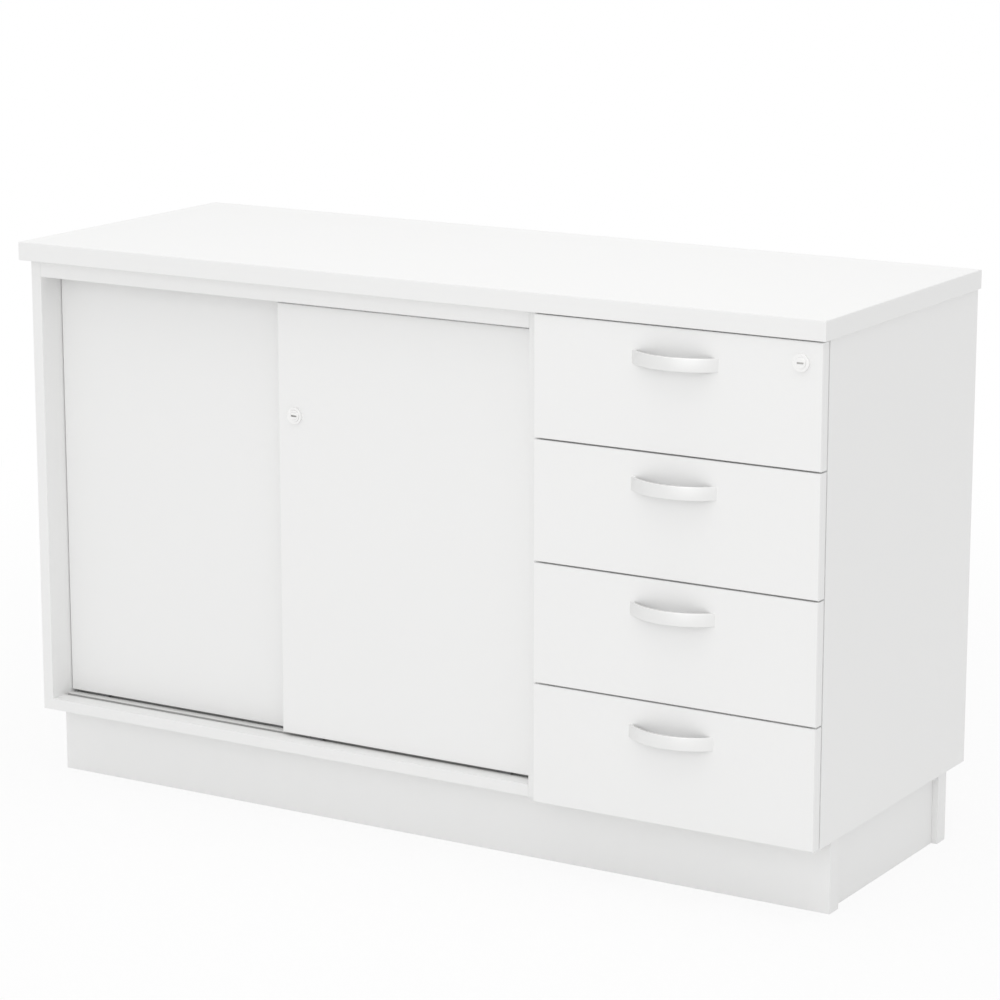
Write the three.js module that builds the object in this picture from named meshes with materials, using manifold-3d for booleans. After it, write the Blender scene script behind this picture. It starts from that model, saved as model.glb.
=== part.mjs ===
// Office credenza: a cupboard with two sliding doors beside a pedestal of drawers with one central lock.
// Millimetres, +Z up. The origin lies on the floor under the middle of the object, and the front faces -Y.

import * as THREE from 'three';
import { mergeVertices } from 'three/addons/utils/BufferGeometryUtils.js';
import Module from 'manifold-3d';

const wasm = await Module();
wasm.setup();

// Overall sizes
const TOP_WIDTH = 1200;
const TOP_DEPTH = 450;
const OVERALL_HEIGHT = 750;

// Boards of the carcass
const TOP_THICKNESS = 25;
const BOARD_THICKNESS = 16;
const BACK_THICKNESS = 16;
const SHELF_THICKNESS = 18;
const TOP_SIDE_OVERHANG = 4;
const TOP_FRONT_OVERHANG = 21;
const PEDESTAL_WIDTH = 380;
const TOP_RAIL_HEIGHT = 24;
const SHELF_LEVEL = 290;
const SHELF_SETBACK = 20;
const FACE_ROUND = 1;
const BOARD_ROUND = 0.5;

// Plinth
const PLINTH_HEIGHT = 96;
const PLINTH_THICKNESS = 25;
const PLINTH_FRONT_SETBACK = 41;
const PLINTH_REAR_SETBACK = 44;
const PLINTH_END_SETBACK = 5;
const PLINTH_SIDE_INSET = 8;

// Sliding doors, their tracks and rollers
const DOOR_THICKNESS = 16;
const DOOR_RAIL_GAP = 5;
const DOOR_GAP = 5;
const DOOR_END_GAP = 1;
const DOOR_OVERLAP = 22;
const DOOR_FLOOR_GAP = 4;
const DOOR_HEAD_GAP = 5.25;
const UPPER_TRACK_HEIGHT = 24;
const UPPER_GROOVE_DEPTH = 14;
const TONGUE_HEAD_GAP = 5;
const LOWER_TRACK_HEIGHT = 7;
const LOWER_GROOVE_DEPTH = 5;
const GROOVE_WIDTH = 8;
const GROOVE_CLEARANCE = 1;
const ROLLER_RADIUS = 13;
const ROLLER_INSET = 50;
const ROLLER_CLEARANCE = 1;
const ROLLER_EDGE = 1;
const AXLE_RADIUS = 2;
const AXLE_COVER = 2.5;

// Both locks
const LOCK_FLANGE_RADIUS = 11;
const LOCK_EDGE = 0.6;
const KEY_SLOT_HEIGHT = 2.2;
const KEY_SLOT_DEPTH = 5;

// Push lock on the front door
const DOOR_LOCK_DROP = 147.25;
const DOOR_LOCK_FLANGE = 2.5;
const SLEEVE_RADIUS = 9.25;
const SLEEVE_SHOULDER = 2.5;
const PLUNGER_RADIUS = 7.75;
const PLUNGER_PROUD = 0.5;
const BOLT_RADIUS = 3;
const BOLT_STANDOFF = 2;
const BOLT_ENGAGEMENT = 4;
const BOLT_SIDE_CLEARANCE = 1;
const DOOR_PLUG_RADIUS = 5;
const DOOR_PLUG_LENGTH = 8;
const DOOR_KEY_SLOT = 8.4;

// Drawers
const DRAWER_COUNT = 4;
const FRONT_THICKNESS = 16;
const FRONT_GAP = 2;
const FRONT_TOP_GAP = 2;
const FRONT_CARCASS_GAP = 1.5;
const FRONT_BOTTOM_REVEAL = 1;
const FRONT_LEFT_CLEARANCE = 1;
const FRONT_RIGHT_REVEAL = 0.5;
const TRAY_WALL = 3;
const TRAY_HEM = 8;
const TRAY_LIFT = 20;
const TRAY_LOCK_GAP = 6;
const TRAY_REAR_CLEARANCE = 15;

// Bow handles
const HANDLE_LENGTH = 118;
const HANDLE_PROJECTION = 23.5;
const HANDLE_THICKNESS = 4;
const HANDLE_HEIGHT = 17;
const HANDLE_DROP = 40;
const HANDLE_ROUND = 1;

// Drawer slides
const SLIDE_SPACE = 12.5;
const SLIDE_HEIGHT = 35;
const SLIDE_DEPTH = 10;
const SLIDE_STEEL = 1.5;
const SLIDE_LIP = 3.5;
const SLIDE_CLEARANCE = 0.5;
const SLIDE_TAB = 3;
const CABINET_RAIL_SETBACK = 5;
const CABINET_RAIL_REAR_GAP = 9;
const DRAWER_RAIL_REAR_GAP = 1;

// Central lock of the drawers
const LOCK_DROP = 26;
const LOCK_EDGE_INSET = 28.5;
const HOUSING_FLANGE = 3;
const HOUSING_RADIUS = 9;
const HOUSING_LENGTH = 22;
const DRAWER_PLUG_RADIUS = 7;
const DRAWER_PLUG_PROUD = 0.5;
const DRAWER_KEY_SLOT = 9;
const CRANK_RADIUS = 8;
const CRANK_ANGLE = Math.PI / 4;
const CRANK_THICKNESS = 3;
const CRANK_HALF_WIDTH = 3.5;
const CRANK_PIN_RADIUS = 1.75;
const CRANK_PIN_OVERRUN = 1;
const BAR_SETBACK = 32;
const BAR_FACE_WIDTH = 10;
const BAR_BACK_WIDTH = 14;
const BAR_THICKNESS = 6;
const BAR_CLEARANCE = 0.5;
const BAR_HEAD = 4;
const PIN_RADIUS = 3;
const PIN_CLEARANCE = 0.5;
const PIN_TAB_GAP = 1;
const PIN_END_GAP = 1;
const FORK_DEPTH = 10;
const FORK_LUG = 4;
const FORK_WEB = 2;
const FORK_CLEARANCE = 0.6;
const FORK_OVERRUN = 1.5;

// Fits and facets
const FIT = 0.3;
const CUT_OVERRUN = 1;
const GRID = 1 / 1024;
const CURVE_STEPS = 12;
const ROUND_STEPS = 2;
const ROUND_SIDES = 32;

// Stations, worked out from the sizes
const handleReach = FRONT_CARCASS_GAP + FRONT_THICKNESS + HANDLE_PROJECTION - TOP_FRONT_OVERHANG;
const rear = (TOP_DEPTH + Math.max(handleReach, 0)) / 2;
const topFront = rear - TOP_DEPTH;
const carcassFront = topFront + TOP_FRONT_OVERHANG;
const backFace = rear - BACK_THICKNESS;
const topUnderside = OVERALL_HEIGHT - TOP_THICKNESS;
const sideOuter = TOP_WIDTH / 2 - TOP_SIDE_OVERHANG;
const sideInner = sideOuter - BOARD_THICKNESS;
const dividerRight = sideInner - PEDESTAL_WIDTH;
const dividerLeft = dividerRight - BOARD_THICKNESS;
const floorTop = PLINTH_HEIGHT + BOARD_THICKNESS;

const frontDoorFace = carcassFront + BOARD_THICKNESS + DOOR_RAIL_GAP;
const rearDoorFace = frontDoorFace + DOOR_THICKNESS + DOOR_GAP;
const trackRear = rearDoorFace + DOOR_THICKNESS;
const grooveCentres = [frontDoorFace + DOOR_THICKNESS / 2, rearDoorFace + DOOR_THICKNESS / 2];
const doorWidth = (dividerLeft + sideInner - 2 * DOOR_END_GAP + DOOR_OVERLAP) / 2;
const rearDoorLeft = DOOR_END_GAP - sideInner;
const frontDoorLeft = dividerLeft - DOOR_END_GAP - doorWidth;
const doorBottom = floorTop + DOOR_FLOOR_GAP;
const upperTrackBottom = topUnderside - UPPER_TRACK_HEIGHT;
const doorHeight = upperTrackBottom - DOOR_HEAD_GAP - doorBottom;
const tongueTop = upperTrackBottom + UPPER_GROOVE_DEPTH - TONGUE_HEAD_GAP - doorBottom;
const rollerHeight = floorTop - LOWER_GROOVE_DEPTH + FIT + ROLLER_RADIUS - doorBottom;
const boltTravel = BOLT_STANDOFF + BOLT_ENGAGEMENT;
const doorLockAcross = rearDoorLeft + doorWidth + BOLT_SIDE_CLEARANCE + BOLT_RADIUS - frontDoorLeft;

const frontLeft = dividerRight + FRONT_LEFT_CLEARANCE;
const frontWidth = sideOuter - FRONT_RIGHT_REVEAL - frontLeft;
const frontRear = carcassFront - FRONT_CARCASS_GAP;
const frontStackBottom = PLINTH_HEIGHT + FRONT_BOTTOM_REVEAL;
const frontStack = topUnderside - FRONT_TOP_GAP - frontStackBottom;
const frontHeight = (frontStack - (DRAWER_COUNT - 1) * FRONT_GAP) / DRAWER_COUNT;
const trayLeft = SLIDE_SPACE - FRONT_LEFT_CLEARANCE;
const trayRight = PEDESTAL_WIDTH - SLIDE_SPACE - FRONT_LEFT_CLEARANCE;
const trayTop = frontHeight - LOCK_DROP - LOCK_FLANGE_RADIUS - TRAY_LOCK_GAP;
const trayLength = backFace - TRAY_REAR_CLEARANCE - frontRear;
const slideLevel = (TRAY_LIFT + trayTop) / 2;
const slideFootHalf = SLIDE_HEIGHT / 2 - SLIDE_STEEL - SLIDE_CLEARANCE;
const slideWallHalf = SLIDE_HEIGHT / 2 - SLIDE_LIP - SLIDE_CLEARANCE;

const barCentre = carcassFront + BAR_SETBACK;
const barFace = sideInner + BAR_CLEARANCE;
const drawerRailFront = barCentre + PIN_RADIUS + PIN_TAB_GAP - frontRear;
const pinReach = BAR_CLEARANCE + SLIDE_SPACE - SLIDE_STEEL - PIN_END_GAP;
const pinDrop = slideFootHalf + PIN_CLEARANCE + PIN_RADIUS;
const lockAcross = frontWidth - LOCK_EDGE_INSET;
const lockHeight = frontHeight - LOCK_DROP;
const crankSide = CRANK_RADIUS * Math.cos(CRANK_ANGLE);
const crankDrop = CRANK_RADIUS * Math.sin(CRANK_ANGLE);
const forkReach = barFace - frontLeft - lockAcross - crankSide + CRANK_PIN_RADIUS + FORK_OVERRUN;
const forkSlotHalf = CRANK_PIN_RADIUS + FORK_CLEARANCE;

// Finishes
const melamine = new THREE.MeshStandardMaterial({ color: 0xf2f2f0, roughness: 0.5, metalness: 0 });
const handleWhite = new THREE.MeshStandardMaterial({ color: 0xf5f5f3, roughness: 0.35, metalness: 0 });
const trackPlastic = new THREE.MeshStandardMaterial({ color: 0xe9e9e7, roughness: 0.45, metalness: 0 });
const trayPlastic = new THREE.MeshStandardMaterial({ color: 0xdcdcda, roughness: 0.5, metalness: 0 });
const rollerPlastic = new THREE.MeshStandardMaterial({ color: 0x7b7c7e, roughness: 0.5, metalness: 0 });
const slideSteel = new THREE.MeshStandardMaterial({ color: 0xb9bcbf, roughness: 0.35, metalness: 1 });
const lockNickel = new THREE.MeshStandardMaterial({ color: 0xd9dadb, roughness: 0.22, metalness: 1 });
const barAluminium = new THREE.MeshStandardMaterial({ color: 0xc3c6c9, roughness: 0.4, metalness: 1 });

/** Rounds a length to a grid that 32-bit numbers hold exactly, so that pieces which touch share a plane. */
function snap(length) {
  return Math.round(length / GRID) * GRID;
}

/** Puts every corner of a geometry on the grid. */
function settle(geometry) {
  const numbers = geometry.attributes.position.array;
  for (let i = 0; i < numbers.length; i += 1) {
    numbers[i] = snap(numbers[i]);
  }
  return geometry;
}

/** Outline through the given points. */
function polygon(points) {
  return new THREE.Shape(points.map(([x, y]) => new THREE.Vector2(x, y)));
}

/** Outline of a rectangle from its low corner to its high corner. */
function rectangle(lowX, lowY, highX, highY) {
  return polygon([[lowX, lowY], [highX, lowY], [highX, highY], [lowX, highY]]);
}

/** Outline of a circle. */
function circle(x, y, radius) {
  return new THREE.Shape().absarc(x, y, radius, 0, 2 * Math.PI, false);
}

/** Extrudes an outline from z = 0, with both end faces rounded over inside the outline. */
function prism(outline, length, round) {
  const geometry = new THREE.ExtrudeGeometry(outline, {
    depth: length - 2 * round,
    curveSegments: CURVE_STEPS,
    bevelEnabled: round > 0,
    bevelThickness: round,
    bevelSize: round,
    bevelOffset: -round,
    bevelSegments: ROUND_STEPS,
  });
  return geometry.translate(0, 0, round);
}

const AXIS_X = new THREE.Vector3(1, 0, 0);
const AXIS_Y = new THREE.Vector3(0, 1, 0);
const AXIS_Z = new THREE.Vector3(0, 0, 1);
const TURN_TO_X = new THREE.Matrix4().makeBasis(AXIS_Y, AXIS_Z, AXIS_X);
const TURN_TO_Y = new THREE.Matrix4().makeBasis(AXIS_X, AXIS_Z, AXIS_Y.clone().negate());

/** Extrudes a (Y, Z) outline along X. */
function alongX(outline, from, to, round = 0) {
  return settle(prism(outline, to - from, round).applyMatrix4(TURN_TO_X).translate(from, 0, 0));
}

/** Extrudes an (X, Z) outline along Y. */
function alongY(outline, from, to, round = 0) {
  return settle(prism(outline, to - from, round).applyMatrix4(TURN_TO_Y).translate(0, to, 0));
}

/** Extrudes an (X, Y) outline along Z. */
function alongZ(outline, from, to, round = 0) {
  return settle(prism(outline, to - from, round).translate(0, 0, from));
}

/** Board between two corners, with the edges of its two broad faces rounded. */
function board([x0, y0, z0], [x1, y1, z1], round = 0) {
  const spans = [x1 - x0, y1 - y0, z1 - z0];
  const thinnest = spans.indexOf(Math.min(...spans));
  if (thinnest === 0) {
    return alongX(rectangle(y0, z0, y1, z1), x0, x1, round);
  }
  if (thinnest === 1) {
    return alongY(rectangle(x0, z0, x1, z1), y0, y1, round);
  }
  return alongZ(rectangle(x0, y0, x1, y1), z0, z1, round);
}

/** Revolves a (radius, y) profile about the Y axis. */
function turned(profile) {
  return new THREE.LatheGeometry(profile.map(([radius, y]) => new THREE.Vector2(radius, y)), ROUND_SIDES);
}

/** Closed solid of a geometry. */
function solid(geometry) {
  const bare = geometry.clone();
  bare.deleteAttribute('normal');
  bare.deleteAttribute('uv');
  const merged = mergeVertices(bare);
  const corners = merged.index.array;
  const triangles = [];
  for (let i = 0; i < corners.length; i += 3) {
    const [a, b, c] = corners.slice(i, i + 3);
    if (a !== b && b !== c && c !== a) {
      triangles.push(a, b, c);
    }
  }
  return new wasm.Manifold(new wasm.Mesh({
    numProp: 3,
    vertProperties: Float32Array.from(merged.attributes.position.array),
    triVerts: Uint32Array.from(triangles),
  }));
}

/** Geometry of a closed solid. */
function geometryOf(shape) {
  const { vertProperties, triVerts } = shape.getMesh();
  const geometry = new THREE.BufferGeometry();
  geometry.setAttribute('position', new THREE.BufferAttribute(vertProperties, 3));
  geometry.setIndex(new THREE.BufferAttribute(triVerts, 1));
  geometry.computeVertexNormals();
  return geometry;
}

/** Joins geometries into one solid. */
function joined(first, ...others) {
  return geometryOf(others.reduce((shape, other) => shape.add(solid(other)), solid(first)));
}

/** Cuts geometries out of a solid. */
function cut(blank, ...tools) {
  return geometryOf(tools.reduce((shape, tool) => shape.subtract(solid(tool)), solid(blank)));
}

/** Named piece at a place in its group. */
function piece(name, geometry, material, place = [0, 0, 0]) {
  const mesh = new THREE.Mesh(geometry, material);
  mesh.name = name;
  mesh.position.set(...place.map(snap));
  return mesh;
}

/** Group of pieces at a place. */
function assembly(place, ...pieces) {
  const group = new THREE.Group();
  group.position.set(...place.map(snap));
  group.add(...pieces);
  return group;
}

/** Melamine board between two corners, held at its middle, less its cuts. */
function panel(name, low, high, round = BOARD_ROUND, cuts = []) {
  const blank = board(low, high, round);
  const geometry = cuts.length > 0 ? cut(blank, ...cuts) : blank;
  const middle = low.map((value, axis) => snap((value + high[axis]) / 2));
  geometry.translate(...middle.map((value) => -value));
  return piece(name, geometry, melamine, middle);
}

/** Half width of the lock bar's dovetail at a distance behind its face. */
function dovetailHalf(depth) {
  const flare = (BAR_BACK_WIDTH - BAR_FACE_WIDTH) / (2 * BAR_THICKNESS);
  return BAR_FACE_WIDTH / 2 + flare * depth;
}

/** Plan outline of the dovetail between two distances behind the bar's face, widened by a clearance. */
function dovetail(from, to, clearance) {
  const near = dovetailHalf(from) + clearance;
  const far = dovetailHalf(to) + clearance;
  return polygon([[from, -near], [to, -far], [to, far], [from, near]]);
}

/** Outline of a door track: a flat strip whose open edge has a groove for each door. */
function trackOutline(closedEdge, openEdge, grooveDepth) {
  const grooveEnd = openEdge + Math.sign(closedEdge - openEdge) * grooveDepth;
  const points = [[frontDoorFace, closedEdge], [frontDoorFace, openEdge]];
  for (const centre of grooveCentres) {
    const near = centre - GROOVE_WIDTH / 2;
    const far = centre + GROOVE_WIDTH / 2;
    points.push([near, openEdge], [near, grooveEnd], [far, grooveEnd], [far, openEdge]);
  }
  points.push([trackRear, openEdge], [trackRear, closedEdge]);
  return polygon(points);
}

/** Worktop, sides, divider, floors, back, top rail and shelf. */
function makeCarcass() {
  const groove = alongZ(
    dovetail(-BAR_CLEARANCE - CUT_OVERRUN, BAR_THICKNESS + BAR_CLEARANCE, BAR_CLEARANCE),
    PLINTH_HEIGHT - CUT_OVERRUN,
    topUnderside + CUT_OVERRUN,
  ).translate(barFace, barCentre, 0);
  const rebate = board(
    [-sideInner - CUT_OVERRUN, frontDoorFace - FIT, floorTop - LOWER_TRACK_HEIGHT - FIT],
    [dividerLeft + CUT_OVERRUN, trackRear + FIT, floorTop + CUT_OVERRUN],
  );
  const shelfBottom = floorTop + SHELF_LEVEL;
  return assembly(
    [0, 0, 0],
    panel('worktop', [-TOP_WIDTH / 2, topFront, topUnderside],
      [TOP_WIDTH / 2, rear, OVERALL_HEIGHT], FACE_ROUND),
    panel('left_side_panel', [-sideOuter, carcassFront, PLINTH_HEIGHT], [-sideInner, rear, topUnderside]),
    panel('right_side_panel', [sideInner, carcassFront, PLINTH_HEIGHT], [sideOuter, rear, topUnderside],
      BOARD_ROUND, [groove]),
    panel('divider_panel', [dividerLeft, carcassFront, PLINTH_HEIGHT],
      [dividerRight, backFace, topUnderside]),
    panel('cupboard_floor', [-sideInner, carcassFront, PLINTH_HEIGHT], [dividerLeft, backFace, floorTop],
      BOARD_ROUND, [rebate]),
    panel('pedestal_floor', [dividerRight, carcassFront, PLINTH_HEIGHT], [sideInner, backFace, floorTop]),
    panel('back_panel', [-sideInner, backFace, PLINTH_HEIGHT], [sideInner, rear, topUnderside]),
    panel('top_rail', [-sideInner, carcassFront, topUnderside - TOP_RAIL_HEIGHT],
      [dividerLeft, carcassFront + BOARD_THICKNESS, topUnderside]),
    panel('shelf', [-sideInner, trackRear + SHELF_SETBACK, shelfBottom],
      [dividerLeft, backFace, shelfBottom + SHELF_THICKNESS]),
  );
}

/** Plinth: front and rear boards that run past the two side boards between them. */
function makePlinth() {
  const end = sideOuter - PLINTH_END_SETBACK;
  const sideFace = end - PLINTH_SIDE_INSET;
  const front = carcassFront + PLINTH_FRONT_SETBACK;
  const back = rear - PLINTH_REAR_SETBACK;
  const frontRearFace = front + PLINTH_THICKNESS;
  const backFrontFace = back - PLINTH_THICKNESS;
  const sideInside = sideFace - PLINTH_THICKNESS;
  return assembly(
    [0, 0, 0],
    panel('plinth_front', [-end, front, 0], [end, frontRearFace, PLINTH_HEIGHT]),
    panel('plinth_rear', [-end, backFrontFace, 0], [end, back, PLINTH_HEIGHT]),
    panel('plinth_left', [-sideFace, frontRearFace, 0], [-sideInside, backFrontFace, PLINTH_HEIGHT]),
    panel('plinth_right', [sideInside, frontRearFace, 0], [sideFace, backFrontFace, PLINTH_HEIGHT]),
  );
}

/** Upper track under the worktop, and lower track let into the cupboard floor. */
function makeTracks() {
  const upper = trackOutline(topUnderside, upperTrackBottom, UPPER_GROOVE_DEPTH);
  const lower = trackOutline(floorTop - LOWER_TRACK_HEIGHT, floorTop, LOWER_GROOVE_DEPTH);
  return assembly(
    [0, 0, 0],
    piece('upper_track', alongX(upper, -sideInner, dividerLeft), trackPlastic),
    piece('lower_track', alongX(lower, -sideInner, dividerLeft), trackPlastic),
  );
}

/** Roller and its axle in one piece, about the Y axis. */
function rollerGeometry() {
  const half = GROOVE_WIDTH / 2 - GROOVE_CLEARANCE;
  const axleHalf = DOOR_THICKNESS / 2 - AXLE_COVER;
  return turned([
    [0, -axleHalf],
    [AXLE_RADIUS, -axleHalf],
    [AXLE_RADIUS, -half],
    [ROLLER_RADIUS - ROLLER_EDGE, -half],
    [ROLLER_RADIUS, ROLLER_EDGE - half],
    [ROLLER_RADIUS, half - ROLLER_EDGE],
    [ROLLER_RADIUS - ROLLER_EDGE, half],
    [AXLE_RADIUS, half],
    [AXLE_RADIUS, axleHalf],
    [0, axleHalf],
  ]);
}

/** Sliding door with a tongue on its head and rollers in its foot. Its origin is its lower front corner. */
function makeDoor(name, left, face, cuts) {
  const middle = DOOR_THICKNESS / 2;
  const tongueHalf = GROOVE_WIDTH / 2 - GROOVE_CLEARANCE;
  const pocketHalf = ROLLER_RADIUS + ROLLER_CLEARANCE;
  const axleHole = DOOR_THICKNESS / 2 - AXLE_COVER + FIT;
  const rollers = { left: ROLLER_INSET, right: doorWidth - ROLLER_INSET };
  const blank = joined(
    board([0, 0, 0], [doorWidth, DOOR_THICKNESS, doorHeight], FACE_ROUND),
    board([0, middle - tongueHalf, doorHeight - FACE_ROUND], [doorWidth, middle + tongueHalf, tongueTop]),
  );
  const pockets = Object.values(rollers).flatMap((across) => [
    board(
      [across - pocketHalf, middle - GROOVE_WIDTH / 2, -CUT_OVERRUN],
      [across + pocketHalf, middle + GROOVE_WIDTH / 2, rollerHeight + pocketHalf],
    ),
    alongY(circle(across, rollerHeight, AXLE_RADIUS + FIT), middle - axleHole, middle + axleHole),
  ]);
  const pieces = Object.entries(rollers).map(([side, across]) => (
    piece(`${name}_${side}_roller`, rollerGeometry(), rollerPlastic, [across, middle, rollerHeight])
  ));
  const leaf = piece(name, cut(blank, ...pockets, ...cuts), melamine);
  return assembly([left, face, doorBottom], leaf, ...pieces);
}

/** Slot for the key in the face of a plug, from the face inwards. */
function keySlot(length, face) {
  return board(
    [-length / 2, face - CUT_OVERRUN, -KEY_SLOT_HEIGHT / 2],
    [length / 2, face + KEY_SLOT_DEPTH, KEY_SLOT_HEIGHT / 2],
  );
}

/** Ring with a flange in front: a (radius, y) profile whose y = 0 is the face that the flange rests on. */
function flangedRing(flange, barrelRadius, boreRadius, inside) {
  return turned([
    [boreRadius, -flange],
    [LOCK_FLANGE_RADIUS - LOCK_EDGE, -flange],
    [LOCK_FLANGE_RADIUS, LOCK_EDGE - flange],
    [LOCK_FLANGE_RADIUS, 0],
    [barrelRadius, 0],
    ...inside,
    [boreRadius, -flange],
  ]);
}

/** Push lock: sleeve, plunger with its bolt, and key plug. Its origin is on the front door's face. */
function makeDoorLock() {
  const bore = PLUNGER_RADIUS + FIT;
  const boltHole = BOLT_RADIUS + FIT;
  const shoulder = DOOR_THICKNESS - SLEEVE_SHOULDER;
  const sleeve = flangedRing(DOOR_LOCK_FLANGE, SLEEVE_RADIUS, bore, [
    [SLEEVE_RADIUS, DOOR_THICKNESS],
    [boltHole, DOOR_THICKNESS],
    [boltHole, shoulder],
    [bore, shoulder],
  ]);
  const face = -DOOR_LOCK_FLANGE - PLUNGER_PROUD;
  const plugBore = DOOR_PLUG_RADIUS + FIT;
  const plugEnd = face + DOOR_PLUG_LENGTH;
  const plungerEnd = shoulder - boltTravel - FIT;
  const boltTip = DOOR_THICKNESS + DOOR_GAP - BOLT_STANDOFF;
  const plunger = turned([
    [0, plugEnd + FIT],
    [plugBore, plugEnd + FIT],
    [plugBore, face],
    [PLUNGER_RADIUS - LOCK_EDGE, face],
    [PLUNGER_RADIUS, face + LOCK_EDGE],
    [PLUNGER_RADIUS, plungerEnd],
    [BOLT_RADIUS, plungerEnd],
    [BOLT_RADIUS, boltTip - LOCK_EDGE],
    [BOLT_RADIUS - LOCK_EDGE, boltTip],
    [0, boltTip],
  ]);
  const plugBlank = turned([[0, face], [DOOR_PLUG_RADIUS, face], [DOOR_PLUG_RADIUS, plugEnd], [0, plugEnd]]);
  return assembly(
    [frontDoorLeft + doorLockAcross, frontDoorFace, doorBottom + doorHeight - DOOR_LOCK_DROP],
    piece('door_lock_sleeve', sleeve, lockNickel),
    piece('door_lock_plunger', plunger, lockNickel),
    piece('door_lock_plug', cut(plugBlank, keySlot(DOOR_KEY_SLOT, face)), lockNickel),
  );
}

/** Both sliding doors, with the push lock in the front one. */
function makeDoors() {
  const lockHole = alongY(
    circle(doorLockAcross, doorHeight - DOOR_LOCK_DROP, SLEEVE_RADIUS + FIT),
    -CUT_OVERRUN,
    DOOR_THICKNESS + CUT_OVERRUN,
  );
  return assembly(
    [0, 0, 0],
    makeDoor('front_door', frontDoorLeft, frontDoorFace, [lockHole]),
    makeDoor('rear_door', rearDoorLeft, rearDoorFace, []),
    makeDoorLock(),
  );
}

/** Bow handle: a strap bent to a circular arc, whose two ends stand on the drawer front at y = 0. */
function handleGeometry() {
  const half = HANDLE_LENGTH / 2;
  const outer = (half ** 2 + HANDLE_PROJECTION ** 2) / (2 * HANDLE_PROJECTION);
  const inner = outer - HANDLE_THICKNESS;
  const centre = outer - HANDLE_PROJECTION;
  const outerEnd = Math.asin(centre / outer);
  const innerEnd = Math.asin(centre / inner);
  const outline = new THREE.Shape();
  outline.absarc(0, centre, outer, -outerEnd, outerEnd - Math.PI, true);
  outline.absarc(0, centre, inner, innerEnd - Math.PI, -innerEnd, false);
  return alongZ(outline, -HANDLE_HEIGHT / 2, HANDLE_HEIGHT / 2, HANDLE_ROUND);
}

/** Drawer tray: a trough with hemmed sides and a back, which the drawer front closes. */
function trayGeometry() {
  const insideLeft = trayLeft + TRAY_WALL;
  const insideRight = trayRight - TRAY_WALL;
  const hemBottom = trayTop - TRAY_WALL;
  const trough = polygon([
    [trayLeft, TRAY_LIFT],
    [trayRight, TRAY_LIFT],
    [trayRight, trayTop],
    [trayRight - TRAY_HEM, trayTop],
    [trayRight - TRAY_HEM, hemBottom],
    [insideRight, hemBottom],
    [insideRight, TRAY_LIFT + TRAY_WALL],
    [insideLeft, TRAY_LIFT + TRAY_WALL],
    [insideLeft, hemBottom],
    [trayLeft + TRAY_HEM, hemBottom],
    [trayLeft + TRAY_HEM, trayTop],
    [trayLeft, trayTop],
  ]);
  return joined(
    alongY(trough, 0, trayLength),
    board([trayLeft, trayLength - TRAY_WALL, TRAY_LIFT], [trayRight, trayLength, trayTop]),
  );
}

/** Rail on the cabinet: a C section whose back is at x = 0 and whose mouth faces the drawer. */
function cabinetRailGeometry(hand, length) {
  const half = SLIDE_HEIGHT / 2;
  const lip = half - SLIDE_LIP;
  const inside = half - SLIDE_STEEL;
  const mouth = SLIDE_DEPTH - SLIDE_STEEL;
  const section = [
    [0, -half], [SLIDE_DEPTH, -half], [SLIDE_DEPTH, -lip], [mouth, -lip], [mouth, -inside],
    [SLIDE_STEEL, -inside], [SLIDE_STEEL, inside], [mouth, inside], [mouth, lip], [SLIDE_DEPTH, lip],
    [SLIDE_DEPTH, half], [0, half],
  ];
  return alongY(polygon(section.map(([x, z]) => [hand * x, z])), 0, length);
}

/** Rail on the drawer: a hat section whose crown is at x = 0, with feet behind the cabinet rail's lips. */
function drawerRailGeometry(hand, length) {
  const footFront = SLIDE_DEPTH - SLIDE_STEEL - SLIDE_CLEARANCE - SLIDE_SPACE;
  const footBack = footFront - SLIDE_STEEL;
  const inside = slideWallHalf - SLIDE_STEEL;
  const section = [
    [footBack, -slideFootHalf], [footFront, -slideFootHalf], [footFront, -slideWallHalf],
    [0, -slideWallHalf], [0, slideWallHalf], [footFront, slideWallHalf],
    [footFront, slideFootHalf], [footBack, slideFootHalf], [footBack, inside],
    [-SLIDE_STEEL, inside], [-SLIDE_STEEL, -inside], [footBack, -inside],
  ];
  const tab = [
    [footBack, -slideWallHalf], [0, -slideWallHalf], [0, slideWallHalf], [footBack, slideWallHalf],
  ];
  return joined(
    alongY(polygon(section.map(([x, z]) => [hand * x, z])), 0, length),
    alongY(polygon(tab.map(([x, z]) => [hand * x, z])), 0, SLIDE_TAB),
  );
}

/** Height of a drawer front's lower edge, counted from the top drawer. */
function frontBottom(number) {
  return frontStackBottom + (DRAWER_COUNT - number) * (frontHeight + FRONT_GAP);
}

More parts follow.
